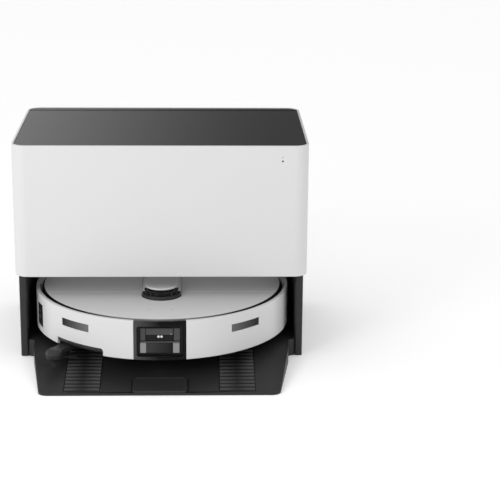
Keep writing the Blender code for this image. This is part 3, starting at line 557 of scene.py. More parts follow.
def make_housing():
    """White walls with a fine chamfer round the top and the bottom edge."""
    chamfer = 0.0010
    levels = ((chamfer, HOUSING_LOW.z), (chamfer * 0.3, HOUSING_LOW.z + chamfer * 0.3),
              (0.0, HOUSING_LOW.z + chamfer), (0.0, HOUSING_HIGH.z - chamfer),
              (chamfer * 0.3, HOUSING_HIGH.z - chamfer * 0.3), (chamfer, HOUSING_HIGH.z),
              (HOUSING_WALL - GAP, HOUSING_HIGH.z), (HOUSING_WALL, HOUSING_HIGH.z - GAP),
              (HOUSING_WALL, HOUSING_LOW.z))
    mesh = loft([level(housing_outline(inset), z) for inset, z in levels], ring=True)
    light = centre_of("status_light")
    inlet_low, inlet_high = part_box("power_inlet")
    ahead, behind = HOUSING_LOW.y - 0.01, HOUSING_HIGH.y + 0.01
    cuts = [front_prism(circle((light.x, light.z), 0.0013, 24), ahead, HOUSING_LOW.y + 0.01),
            front_prism(circle((light.x, light.z + 0.0052), 0.0006, 16), ahead, HOUSING_LOW.y + 0.01),
            block((inlet_low.x - GAP, HOUSING_HIGH.y - 0.01, inlet_low.z - GAP),
                  (inlet_high.x + GAP, behind, inlet_high.z + GAP))]
    for number in range(9):
        x = -0.150 + 0.009 * number
        slot = rounded_box((x, 0.150), (x + 0.004, 0.190), 0.0019, 6)
        cuts.append(front_prism(slot, HOUSING_HIGH.y - 0.01, behind))
    piece("housing_shell", mesh, WHITE_SHELL, "outer_housing", 0, cuts=cuts)
    wall = HOUSING_HIGH.y - HOUSING_WALL
    pad = block((-0.154, wall - 0.0040, 0.146), (-0.070, wall - 0.0001, 0.194))
    piece("exhaust_filter", pad, BLACK_MATT, "outer_housing", 0.0008, replaces=False)
    low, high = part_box("status_light")
    lens = front_prism(circle((light.x, light.z), (high.x - low.x) / 2, 24), low.y, high.y)
    piece("status_lens", lens, STATUS_DARK, "status_light", 0.0002)


def make_power_inlet():
    """Two-pin socket with a round-cornered mouth."""
    low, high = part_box("power_inlet")
    middle = centre_of("power_inlet")
    mouth = rounded_box((low.x + 0.0057, low.z + 0.0057), (high.x - 0.0057, high.z - 0.0057), 0.005, 8)
    cutter = front_prism(mouth, low.y + 0.003, high.y + 0.01)
    piece("power_socket", block(low, high), BLACK_MATT, "power_inlet", 0.0005, cuts=[cutter])
    pins = merge([front_prism(circle((middle.x + side * 0.0042, middle.z), 0.0012, 16), low.y + 0.0033,
                              high.y - 0.0025) for side in (-1, 1)])
    piece("power_pins", pins, STEEL, "power_inlet", 0.0002, replaces=False)


def make_lid():
    """Dark glossy lid with a soft edge, and its two hooks."""
    inset = HOUSING_HIGH.x - LID_HIGH.x
    edge = 0.0006

    def outline(margin):
        corner = HOUSING_CORNER - inset - margin
        near = (LID_LOW.x + margin, LID_LOW.y + margin)
        far = (LID_HIGH.x - margin, LID_HIGH.y - margin)
        points = arc((near[0] + corner, near[1] + corner), corner, 180, 270, 12)
        points += arc((far[0] - corner, near[1] + corner), corner, 270, 360, 12)
        return points + [far, (near[0], far[1])]

    top = LID_HIGH.z
    plate = top - 0.003
    lid = link("lid_panel", loft([level(outline(edge), plate), level(outline(0), plate + edge),
                                  level(outline(0), top - edge), level(outline(edge), top)]))
    hinge = next(joint for joint in frame["joints"] if joint["child"] == body_of("top_lid"))
    axis = (hinge["pos_m"][1], hinge["pos_m"][2])
    hook = [(axis[0] + 0.0019, plate + 0.0005), (axis[0] - 0.0026, plate + 0.0005)]
    hook += arc(axis, 0.0026, 180, 240, 6)
    hook += arc(axis, 0.0015, 240, -60, 20)
    hook += arc(axis, 0.0026, -60, 0, 6)
    for x in (-0.12, 0.12):
        boolean(lid, side_prism(hook, x - 0.012, x + 0.012), "UNION")
    for number in range(5):
        y = LID_LOW.y + 0.035 + 0.040 * number
        boolean(lid, block((-0.17, y, plate - 0.0022), (0.17, y + 0.0016, plate + 0.0003)), "UNION")
    soften(lid, 0)
    place(lid, LID_DARK, "top_lid")


def make_side_walls():
    for name in ("left_side_wall", "right_side_wall"):
        low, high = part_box(name)
        outline = rounded_box((low.x, low.y), (high.x, high.y), 0.003, 6)
        piece(name + "_skin", prism(outline, low.z, high.z), WALL_BLACK, name, 0.0004)


def make_rear_wall():
    """Back of the bay: a rib pattern and a raised contact block."""
    low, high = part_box("rear_wall")
    wall = link("rear_wall_panel", block(low, high))
    slots = []
    for word in ("left", "right"):
        near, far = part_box(word + "_contact")
        slots.append(block((near.x - 0.002, low.y - 0.01, near.z - 0.0005),
                           (far.x + 0.002, high.y + 0.0018, far.z + 0.0005)))
    for front, back in ((low.y - 0.0022, low.y + 0.001), (high.y - 0.001, high.y + 0.0033)):
        cover = rounded_box((-0.052, 0.053), (0.052, 0.073), 0.003, 6)
        boolean(wall, front_prism(cover, front, back), "UNION")
    for slot in slots:
        boolean(wall, slot)
    for number in range(7):
        for side in (-1, 1):
            x = side * (0.075 + 0.014 * number)
            near, far = sorted((x, x + side * 0.003))
            boolean(wall, block((near, low.y - 0.0012, 0.032), (far, low.y + 0.001, 0.108)), "UNION")
    soften(wall, 0.0006)
    place(wall, WALL_BLACK, "rear_wall")
    for word in ("left", "right"):
        near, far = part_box(word + "_contact")
        piece(word + "_contact_pad", block(near, far), CONTACT_METAL, word + "_contact", 0.0016)


def base_outline():
    """Ramp with cut-back sides that flare out to meet the pillars."""
    corner = 0.012
    flare = 0.0085
    rear = 0.1745
    start = WALL_LOW.y - flare
    right = arc((0.159 - corner, BASE_LOW.y + corner), corner, -90, 0, 10)
    right += [(rear, start - 0.02)]
    right += arc((rear + flare, start + 0.0005), flare, 180, 90, 6)[1:]
    right += [(BASE_HIGH.x, WALL_LOW.y + GAP), (BASE_HIGH.x, BASE_HIGH.y)]
    left = [(-x, y) for x, y in reversed(right)]
    return right + left


def make_base():
    """Ramp and deck, with pockets for the tracks and the tray and a groove round the front tab."""
    plate = link("ramp_plate", prism(base_outline(), 0, DECK))
    ahead = BASE_LOW.y - 0.01
    beyond = RAMP_END + 0.02
    rise = (DECK - RAMP_LIP) / (RAMP_END - BASE_LOW.y)
    wedge = ((ahead, RAMP_LIP - 0.01 * rise), (beyond, DECK + 0.02 * rise), (beyond, 0.05), (ahead, 0.05))
    boolean(plate, side_prism(wedge, -0.3, 0.3))
    lip = 0.0012
    chamfer = ((BASE_LOW.y - 0.01, RAMP_LIP - lip - 0.01), (BASE_LOW.y + 0.01, RAMP_LIP - lip + 0.01),
               (BASE_LOW.y - 0.01, RAMP_LIP + 0.01))
    boolean(plate, side_prism(chamfer, -0.3, 0.3))
    depth = TRACK_DEPTH
    side_gap = 0.0011
    feet = []
    for at in ((-0.140, -0.150), (0.140, -0.150), (-0.150, 0.150), (0.150, 0.150)):
        boolean(plate, prism(circle(at, 0.0100, 48), -0.01, 0.0010))
        feet.append(prism(circle(at, 0.0095, 48), 0.0001, 0.0009))
    pocket = ((TRACK_LOW.y - GAP, ramp(TRACK_LOW.y) - depth), (TRACK_HIGH.y + GAP, ramp(TRACK_HIGH.y) - depth),
              (TRACK_HIGH.y + GAP, 0.05), (TRACK_LOW.y - GAP, 0.05))
    for side in (-1, 1):
        near, far = sorted((side * (TRACK_LOW.x - side_gap), side * (TRACK_HIGH.x + side_gap)))
        boolean(plate, side_prism(pocket, near, far))
        near, far = sorted((side * (TAB_HIGH.x - 0.001), side * (TAB_HIGH.x + 0.0020)))
        groove = ((TAB_LOW.y, ramp(TAB_LOW.y) - 0.0012), (TAB_HIGH.y, ramp(TAB_HIGH.y) - 0.0012),
                  (TAB_HIGH.y, 0.05), (TAB_LOW.y, 0.05))
        boolean(plate, side_prism(groove, near, far))
    tray_low, tray_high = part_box("wash_tray")
    boolean(plate, block((tray_low.x - GAP, tray_low.y - GAP, tray_low.z - GAP),
                         (tray_high.x + GAP, tray_high.y + GAP, 0.05)))
    soften(plate, 0.0009, 4)
    place(plate, BLACK_MATT, "base_plate")
    piece("base_feet", merge(feet), RUBBER, "base_plate", 0.0002, replaces=False)


def make_tracks():
    """Ribbed climbing strips whose ribs dip in the middle of the wheel's path."""
    pitch = 0.009
    columns = 25
    rib = ((0.96, 0.0), (0.84, 0.0016), (0.76, 0.0020), (0.48, 0.0020), (0.38, 0.0016), (0.26, 0.0))
    for word in ("left", "right"):
        low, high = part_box(word + "_track")
        middle = (low.x + high.x) / 2
        half = (high.x - low.x) / 2
        loops = []
        for column in range(columns):
            share = 2 * column / (columns - 1) - 1
            dip = 0.0011 * (1 - abs(share)) ** 1.2
            back = 0.0016 * (1 - abs(share))
            bottom = GAP - TRACK_DEPTH
            outline = [(low.y, ramp(low.y) + bottom), (high.y, ramp(high.y) + bottom)]
            for number in reversed(range(int((high.y - low.y) / pitch))):
                for part, lift in rib:
                    y = low.y + (number + part) * pitch
                    raised = lift > 0
                    outline.append((y + back * raised, ramp(y) - 0.0008 + lift - dip * raised))
            loops.append([(middle + half * share, y, z) for y, z in outline])
        piece(word + "_track_strip", loft(loops), TRACK_RUBBER, word + "_track", 0)


def make_front_tab():
    """Raised touch pad of the ramp, with soft corners and a low ridge along its rear edge."""
    outline = rounded_box((TAB_LOW.x, TAB_LOW.y), (TAB_HIGH.x, TAB_HIGH.y), 0.003, 6)
    bottom = [(x, y, ramp(y) + GAP) for x, y in outline]
    top = [(x, y, ramp(y) + 0.0030) for x, y in outline]
    pad = link("front_touch_pad", loft([bottom, top]))
    y = TAB_HIGH.y
    ridge = ((y - 0.0001, ramp(y) + 0.002), (y - 0.0001, ramp(y) + 0.0040), (y - 0.0016, ramp(y) + 0.0042),
             (y - 0.0052, ramp(y) + 0.0020))
    boolean(pad, side_prism(ridge, TAB_LOW.x + 0.003, TAB_HIGH.x - 0.003), "UNION")
    soften(pad, 0.0008)
    place(pad, BLACK_MATT, "front_tab")


def make_wash_tray():
    """Scrubbing tray: a shallow floor, a rim, and rays of ribs under each mop."""
    low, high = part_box("wash_tray")
    floor = low.z + 0.0030
    outline = rounded_box((low.x, low.y), (high.x, high.y), 0.004, 6)
    inner = rounded_box((low.x + 0.003, low.y + 0.003), (high.x - 0.003, high.y - 0.003), 0.003, 6)
    loops = (level(outline, low.z), level(outline, high.z), level(inner, high.z), level(inner, floor))
    tray = loft(loops)
    rays = []
    for word in ("left", "right"):
        middle = centre_of(word + "_mop_pad")
        for number in range(14):
            lean = 2 * math.pi * number / 14
            along = Vector((math.cos(lean), math.sin(lean)))
            near = Vector((middle.x, middle.y)) + along * 0.020
            far = Vector((middle.x, middle.y)) + along * 0.052
            rays.append(prism(link_outline(near, far, 0.0022, 0.0030, 6), floor - 0.001, high.z - 0.0004))
    piece("wash_tray_basin", tray, GREY_MATT, "wash_tray", 0.0003)
    piece("wash_tray_ribs", merge(rays), TRIM_GREY, "wash_tray", 0.0005, replaces=False)


def make_tank(word, material):
    """Water tank with a waist line and a cap with a carrying grip."""
    low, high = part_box(word + "_water_tank")
    corner = 0.010
    wall = 0.0025
    waist = high.z - 0.030

    def ring(inset):
        return rounded_box((low.x + inset, low.y + inset), (high.x - inset, high.y - inset), corner - inset, 8)

    levels = ((0.0030, low.z), (0.0008, low.z + 0.0010), (0.0, low.z + 0.0030), (0.0, waist),
              (0.0010, waist + 0.0015), (0.0010, waist + 0.0045), (0.0, waist + 0.0060), (0.0, high.z),
              (wall, high.z), (wall, low.z + 0.0030))
    piece(word + "_tank_vessel", loft([level(ring(inset), z) for inset, z in levels]), material,
          word + "_water_tank", 0)
    cap_low, cap_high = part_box(word + "_tank_cap")
    plate = cap_low.z + 0.0047
    edge = 0.0012
    cap = link(word + "_tank_cap_body", loft([level(ring(0.0002), cap_low.z), level(ring(0.0), plate - edge),
                                              level(ring(edge * 0.3), plate - edge * 0.3),
                                              level(ring(edge), plate)]))
    middle = (cap_low.x + cap_high.x) / 2
    half = 0.012
    start, stop = 0.02, 0.11
    grip = rounded_box((middle - half, start), (middle + half, stop), 0.0055, 8)
    boolean(cap, prism(grip, plate - 0.002, cap_high.z), "UNION")
    tunnel = rounded_box((start + 0.014, plate + 0.0003), (stop - 0.014, cap_high.z - 0.0030), 0.0020, 5)
    boolean(cap, side_prism(tunnel, middle - 0.03, middle + 0.03))
    for y in (low.y + 0.018, high.y - 0.030):
        recess = rounded_box((middle - 0.030, y), (middle + 0.030, y + 0.012), 0.004, 6)
        boolean(cap, prism(recess, plate - 0.0012, plate + 0.01))
    soften(cap, 0.0008)
    place(cap, TRIM_GREY, word + "_tank_cap")


def inflate(item, pressure, most):
    """Cloth under pressure. No point moves further than most."""
    homes = [vertex.co.copy() for vertex in item.data.vertices]
    step = item.modifiers.new("cloth", "CLOTH")
    step.settings.use_pressure = True
    step.settings.uniform_pressure_force = pressure
    step.settings.effector_weights.gravity = 0.0
    step.point_cache.frame_end = 20
    for number in range(1, 21):
        bpy.context.scene.frame_set(number)
    bake(item)
    bpy.context.scene.frame_set(1)
    for vertex, home in zip(item.data.vertices, homes):
        move = vertex.co - home
        if move.length > most:
            vertex.co = home + move * (most / move.length)


def make_dust_bag():
    """Filled non-woven bag with pleated sides, and the card collar that it hangs from."""
    low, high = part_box("dust_bag")
    loops = []
    levels = ((0.020, 0.004), (0.009, 0.010), (0.005, 0.022), (0.005, 0.050), (0.005, 0.078), (0.005, 0.106),
              (0.009, 0.119), (0.020, 0.126))
    for inset, lift in levels:
        outline = rounded_box((low.x + inset, low.y + inset), (high.x - inset, high.y - inset - 0.002), 0.013, 6)
        loops.append(level(outline, low.z + lift))
    bag = link("dust_bag_cloth", loft(loops))
    remesh = bag.modifiers.new("even", "REMESH")
    remesh.mode = "VOXEL"
    remesh.voxel_size = 0.0045
    bake(bag)
    inflate(bag, 4.0, 0.004)
    middle = centre_of("dust_bag")
    for vertex in bag.data.vertices:
        at = vertex.co
        crease = 0.0011 * noise.noise(Vector((at.x * 45, at.y * 45, at.z * 16)))
        pleat = 0.0016 * math.exp(-((at.y - middle.y) / 0.006) ** 2)
        outward = Vector((at.x - middle.x, at.y - middle.y, 0)).normalized()
        vertex.co = at + outward * (crease - pleat)
        vertex.co.x = min(max(at.x, low.x), high.x)
        vertex.co.y = min(max(at.y, low.y), high.y)
        vertex.co.z = min(max(at.z, low.z), high.z)
    smooth = bag.modifiers.new("smooth", "SUBSURF")
    smooth.levels = 1
    smooth.render_levels = 1
    bake(bag)
    bag.data.shade_smooth()
    place(bag, BAG_CLOTH, "dust_bag")
    low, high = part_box("dust_bag_collar")
    middle = centre_of("dust_bag_collar")
    mouth = (0.0, middle.z + 0.001)
    card = rounded_box((low.x, low.z), (high.x, high.z), 0.006, 8)
    cuts = [front_prism(circle(mouth, 0.0172, 48), low.y - 0.01, high.y + 0.01)]
    for side in (-1, 1):
        cuts.append(front_prism(rounded_box((side * 0.036 - 0.008, high.z - 0.010),
                                            (side * 0.036 + 0.008, high.z - 0.006), 0.0018, 6),
                                low.y - 0.01, high.y + 0.01))
    piece("dust_bag_card", front_prism(card, low.y, high.y), TEAL_CARD, "dust_bag_collar", 0.0004, cuts=cuts)
    ring = [circle(mouth, radius, 48) for radius in (0.0215, 0.0215, 0.0165, 0.0165)]
    planes = (high.y + 0.0012, high.y + 0.0001, high.y + 0.0001, high.y + 0.0012)
    seal = loft([[(x, y, z) for x, z in outline] for outline, y in zip(ring, planes)], ring=True)
    piece("dust_bag_ring", seal, SEAL_WHITE, "dust_bag_collar", 0.0003, replaces=False)


def make_suction_motor():
    """Motor can with cooling slots, a collar and a domed cover."""
    low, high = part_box("suction_motor")
    middle = centre_of("suction_motor")
    radius = (high.x - low.x) / 2
    profile = [(radius - 0.003, low.z)]
    profile += arc((radius - 0.002, low.z + 0.005), 0.002, -60, 0, 4)
    profile += arc((radius - 0.002, low.z + 0.046), 0.002, 0, 90, 4)
    profile += [(radius - 0.007, low.z + 0.0485), (radius - 0.007, low.z + 0.0515)]
    profile += arc((radius - 0.0095, low.z + 0.089), 0.0025, 0, 90, 4)
    profile += [(radius - 0.017, high.z - 0.0030)] + arc((radius - 0.019, high.z - 0.002), 0.002, 0, 90, 4)
    can = link("suction_motor_can", turned(profile, (middle.x, middle.y)))
    for number in range(18):
        lean = 2 * math.pi * number / 18
        at = (middle.x + (radius - 0.007) * math.cos(lean), middle.y + (radius - 0.007) * math.sin(lean))
        boolean(can, prism(circle(at, 0.0022, 12), low.z + 0.058, low.z + 0.082))
    soften(can, 0.0004)
    place(can, GREY_MATT, "suction_motor")


# ---------------------------------------------------------------- robot shells
def shell_profile(wall, lip):
    """Side wall with a round shoulder and a flat rim."""
    outer = ROBOT_RADIUS
    foot = 0.0012
    shoulder = 0.0016
    inner = outer - RIM_WIDTH
    profile = [(wall, ROBOT_BOTTOM)]
    profile += arc((outer - foot, ROBOT_BOTTOM + foot), foot, -90, 0, 5)
    profile += arc((outer - shoulder, ROBOT_TOP - shoulder), shoulder, 0, 90, 6)
    profile += arc((inner + 0.0005, ROBOT_TOP - 0.0005), 0.0005, 90, 180, 3)
    profile += [(inner, lip), (wall, lip)]
    return profile


def opening(start, stop, low, high, steps=24):
    outline = ((0.150, low), (0.200, low), (0.200, high), (0.150, high))
    return sweep(outline, start, stop, steps)


def notch_top(degrees, inset=0.0):
    """Height of the side brush notch: level, with one round corner nearest the front."""
    along = math.radians(-degrees - NOTCH_ANGLES[0]) * ROBOT_RADIUS - inset
    corner = NOTCH_CORNER
    drop = corner - math.sqrt(max(corner ** 2 - max(corner - along, 0.0) ** 2, 0.0))
    return NOTCH_TOP - inset - drop


def notch_angles(inset=0.0):
    """Angles across the notch, close together at its round corner."""
    margin = math.degrees(inset / ROBOT_RADIUS)
    corner = math.degrees(NOTCH_CORNER / ROBOT_RADIUS)
    near, far = NOTCH_ANGLES[0] + margin, NOTCH_ANGLES[1] - margin
    return [-far] + even_angles(-far + 1, -near - corner, 20) + even_angles(-near - corner, -near, 8)[1:]


def make_bumper():
    """White front half, cut for its windows and the side brush, and the trim in the notch."""
    mesh = sweep(shell_profile(ROBOT_RADIUS - BUMPER_WALL, ROBOT_TOP - 0.0040), -BUMPER_END, BUMPER_END, 180)
    cuts = [opening(-PANE_HALF_ANGLE, PANE_HALF_ANGLE, 0.030, 0.100)]
    cuts.append(opening(*SENSOR_ANGLES, *SENSOR_HEIGHTS))
    cuts.append(opening(-SENSOR_ANGLES[1], -SENSOR_ANGLES[0], *SENSOR_HEIGHTS))
    cuts.append(opening(-SIDE_SENSOR_ANGLES[1], -SIDE_SENSOR_ANGLES[0], *SIDE_SENSOR_HEIGHTS))
    cuts.append(sweep_along(lambda degrees: ((0.150, 0.030), (0.200, 0.030), (0.200, notch_top(degrees)),
                                             (0.150, notch_top(degrees))), notch_angles()))
    piece("bumper_shell", mesh, ROBOT_WHITE, "front_bumper", 0, cuts=cuts)
    inset = 0.0004
    face = ROBOT_RADIUS - 0.0012
    low = HUB_HIGH.z + 0.0007

    def trim(degrees):
        top = notch_top(degrees, inset)
        return ((0.1690, low), (face - 0.0022, low), (face - 0.0002, low + 0.0024), (face, low + 0.0030),
                (face, top), (0.1690, top))

    angles = [degrees for degrees in notch_angles(inset) if notch_top(degrees, inset) > low + 0.0032]
    piece("side_brush_bay_trim", sweep_along(trim, angles), TRIM_GREY, "front_bumper", 0.0002, replaces=False)


def make_rear_shell():
    """White rear half with an exhaust grille and two charging strips."""
    low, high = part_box("rear_shell")
    start = math.degrees(math.acos((ROBOT_Y - low.y) / ROBOT_RADIUS))
    mesh = sweep(shell_profile(0.1690, ROBOT_TOP - 0.0049), start, 360 - start, 180)
    cuts = []
    for number in range(12):
        centre = 205 + 2.1 * number
        cuts.append(opening(centre - 0.45, centre + 0.45, 0.055, 0.075, 2))
    strips = [(180 + side * 11.5 - 3.2, 180 + side * 11.5 + 3.2) for side in (-1, 1)]
    piece("rear_shell_skin", mesh, ROBOT_WHITE, "rear_shell", 0, cuts=cuts)
    outline = ((0.1755, 0.0590), (0.1768, 0.0590), (0.1768, 0.0670), (0.1755, 0.0670))
    bars = merge([sweep(outline, near, far, 8) for near, far in strips])
    piece("charging_strips", bars, CONTACT_METAL, "rear_shell", 0.0004, replaces=False)


def make_panes():
    """Tinted sensor windows, a little behind the bumper's face, with a painted reflection across each pane."""
    # Painted reflection: the front panes are lighter towards the middle of the front, and the side pane is lighter
    # at its rear end.
    left = smoked_painted_light("left_window_painted_reflection", -0.130, -0.096, (0.004, 0.004, 0.004), (0.145, 0.145, 0.148))
    right = smoked_painted_light("right_window_painted_reflection", 0.096, 0.130, (0.125, 0.125, 0.128), (0.008, 0.008, 0.008))
    side = smoked_painted_light("side_window_painted_reflection", -0.174, -0.160, (0.030, 0.030, 0.030), (0.012, 0.012, 0.012))
    rows = (("right_sensor_window", *SENSOR_ANGLES, *SENSOR_HEIGHTS, right),
            ("left_sensor_window", -SENSOR_ANGLES[1], -SENSOR_ANGLES[0], *SENSOR_HEIGHTS, left),
            ("side_sensor_window", -SIDE_SENSOR_ANGLES[1], -SIDE_SENSOR_ANGLES[0], *SIDE_SENSOR_HEIGHTS, side))
    for name, start, stop, low, high, tone in rows:
        outline = ((0.1732, low + GAP), (0.1759, low + GAP), (0.1759, high - GAP), (0.1732, high - GAP))
        piece(name + "_pane", sweep(outline, start + 0.12, stop - 0.12, 24), tone, name, 0.0003)
    low, high = SIDE_SENSOR_HEIGHTS
    middle = (low + high) / 2
    face = 0.1758
    eyes = []
    for lift, size in ((0.0045, 0.0016), (-0.0035, 0.0024)):
        at = middle + lift
        outline = ((face, at - size), (face + 0.0005, at - size), (face + 0.0005, at + size), (face, at + size))
        eyes.append(sweep(outline, -71.8 - size * 300, -71.8 + size * 300, 4))
    piece("side_sensor_eyes", merge(eyes), PANEL_MID, "side_sensor_window", 0.0002, replaces=False)


def make_covers():
    """The two halves of the top disc, with a fine rounded edge, and the two touch keys."""
    slot_half = 0.0275
    front_slot = ROBOT_Y - 0.0885
    back_slot = ROBOT_Y + 0.0225
    lean = math.degrees(math.asin((ROBOT_Y - SEAM_Y) / COVER_RADIUS))
    front = arc((0, ROBOT_Y), COVER_RADIUS, 180 + lean + 0.1, 360 - lean - 0.1, 120)
    front += [(slot_half, SEAM_Y - GAP)] + arc((0, front_slot + slot_half), slot_half, 0, -180, 40)
    front += [(-slot_half, SEAM_Y - GAP)]
    rear = arc((0, ROBOT_Y), COVER_RADIUS, -lean + 0.1, 180 + lean - 0.1, 160)
    rear += [(-slot_half, SEAM_Y + GAP), (-slot_half, back_slot), (slot_half, back_slot),
             (slot_half, SEAM_Y + GAP)]
    holes = []
    for node in ("power_button", "home_button"):
        middle = centre_of(node)
        holes.append(prism(circle((middle.x, middle.y), 0.0045, 48), 0.07, 0.11))
    piece("front_cover_skin", prism(front, COVER_LOW.z, ROBOT_TOP), ROBOT_WHITE, "front_cover", 0.0003,
          cuts=holes)
    piece("rear_lid_skin", prism(rear, COVER_LOW.z, ROBOT_TOP), ROBOT_WHITE, "rear_lid", 0.0003)
    low = DECK_HIGH.z + GAP
    outline = ((COVER_RADIUS + 0.0001, low), (COVER_RADIUS + 0.0012, low),
               (COVER_RADIUS + 0.0012, ROBOT_TOP - 0.0009), (COVER_RADIUS + 0.0001, ROBOT_TOP - 0.0005))
    turn = 90 - lean
    spans = (("front_cover", -turn + 0.3, turn - 0.3), ("rear_lid", turn + 0.3, 360 - turn - 0.3))
    # Thin rings beside the covers' edges carry the painted shade of the channel, black at the sides and pale at
    # the front.
    for node, start, stop in spans:
        piece(node + "_ring", sweep(outline, start, stop, 120), CHANNEL_PAINTED_SHADE, node, 0, replaces=False)
    for node in ("power_button", "home_button"):
        near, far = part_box(node)
        middle = centre_of(node)
        key = prism(circle((middle.x, middle.y), (far.x - near.x) / 2, 48), near.z, far.z)
        piece(node + "_key", key, ROBOT_WHITE, node, 0.0002)


def make_key_icons():
    """Faint printed marks: a broken ring with a bar, and a small house."""
    low, high = ROBOT_TOP + 0.00002, ROBOT_TOP + 0.00012
    middle = centre_of("power_button")
    at = (middle.x, middle.y)
    ring = arc(at, 0.0023, 120, 420, 30) + arc(at, 0.0018, 420, 120, 30)
    bar = block((at[0] - 0.00025, at[1] + 0.0006, low), (at[0] + 0.00025, at[1] + 0.0027, high))
    marks = merge([prism(ring, low, high), bar])
    piece("power_icon", marks, ICON_GREY, "power_button", 0, replaces=False)
    middle = centre_of("home_button")
    x, y = middle.x, middle.y
    outer = ((-0.0016, -0.0020), (0.0016, -0.0020), (0.0016, 0.0004), (0.0023, 0.0004), (0.0, 0.0024),
             (-0.0023, 0.0004), (-0.0016, 0.0004))
    share = 0.72
    ring = [level([(x + u * size, y + v * size) for u, v in outer], z)
            for size, z in ((1, low), (1, high), (share, high), (share, low))]
    piece("home_icon", loft(ring, ring=True), ICON_GREY, "home_button", 0, replaces=False)


def make_lidar_tower():
    """Flange and recessed black band round the front, a white foot behind them, and a white cap."""
    back = WINDOW_HIGH.y
    low, high = WINDOW_LOW.z, WINDOW_HIGH.z
    shoulder = ROBOT_TOP + 0.0040

    def rows(levels):
        return [level(tower_outline(half, WINDOW_LOW.y + inset, back - inset * 0.4), z)
                for half, inset, z in levels]

    flange = rows(((0.0265, 0.0, low), (0.0265, 0.0, ROBOT_TOP + 0.0018), (0.0260, 0.0005, shoulder - 0.0006),
                   (0.0248, 0.0017, shoulder), (0.0215, 0.0050, shoulder), (0.0215, 0.0050, low)))
    split = WINDOW_LOW.y + 0.0300
    behind = block((-0.04, split, low - 0.01), (0.04, back + 0.01, high + 0.01))
    ahead = block((-0.04, WINDOW_LOW.y - 0.01, low - 0.01), (0.04, split + 0.0002, high + 0.01))
    foot = rows(((0.0272, -0.0005, low), (0.0272, -0.0005, ROBOT_TOP - 0.0004), (0.0232, 0.0033, shoulder),
                 (0.0222, 0.0043, high - 0.0010), (0.0218, 0.0047, high), (0.0195, 0.0070, high),
                 (0.0195, 0.0070, low)))
    piece("lidar_window_foot", loft(foot, ring=True), ROBOT_WHITE, "lidar_window", 0, cuts=[ahead])
    piece("lidar_window_flange", loft(flange, ring=True), TRIM_GREY, "lidar_window", 0, replaces=False,
          cuts=[behind.copy()])
    band = rows(((0.0213, 0.0052, low + 0.001), (0.0222, 0.0043, shoulder + 0.0003),
                 (0.0222, 0.0043, high - 0.0012), (0.0232, 0.0033, high - 0.0008), (0.0232, 0.0033, high),
                 (0.0195, 0.0070, high), (0.0195, 0.0070, low + 0.001)))
    posts = []
    centre = WINDOW_LOW.y + 0.0265
    for lean in (-62, -38, 38, 62):
        angle = math.radians(lean)
        at = (0.0226 * math.sin(angle), centre - 0.0226 * math.cos(angle))
        posts.append(prism(circle(at, 0.0011, 12), shoulder - 0.0002, high - 0.0004))
    piece("lidar_window_band", loft(band, ring=True), BLACK_GLOSS, "lidar_window", 0, replaces=False,
          cuts=[behind])
    piece("lidar_window_posts", merge(posts), TRIM_GREY, "lidar_window", 0, replaces=False)
    half = CAP_HIGH.x
    profile = ((0.0012, CAP_LOW.z), (0.0, CAP_LOW.z + 0.0006), (0.0, CAP_HIGH.z - 0.0011),
               (0.0003, CAP_HIGH.z - 0.0004), (0.0012, CAP_HIGH.z))
    loops = [level(tower_outline(half - inset, CAP_LOW.y + inset, CAP_HIGH.y - inset), z)
             for inset, z in profile]
    piece("lidar_cap_skin", loft(loops), ROBOT_WHITE, "lidar_cap", 0)
    middle = centre_of("lidar_rotor")
    near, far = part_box("lidar_rotor")
    radius = (far.x - near.x) / 2
    profile = [(0.001, near.z), (0.010, near.z), (0.010, near.z + 0.008), (radius - 0.0008, near.z + 0.008),
               (radius, near.z + 0.0088), (radius, far.z - 0.0010), (radius - 0.0010, far.z), (0.001, far.z)]
    eye = block((-0.009, middle.y - 0.03, 0.0885), (0.009, middle.y - 0.0135, 0.0960))
    piece("lidar_rotor_body", turned(profile, (middle.x, middle.y)), BLACK_MATT, "lidar_rotor", 0.0003,
          cuts=[eye])
    lenses = merge([loft([[(x, y, z) for x, z in circle((side * 0.0045, 0.0922), 0.0028, 24)]
                          for y in (middle.y - 0.0155, middle.y - 0.0140)]) for side in (-1, 1)])
    piece("lidar_lenses", lenses, BLACK_GLOSS, "lidar_rotor", 0.0004, replaces=False)


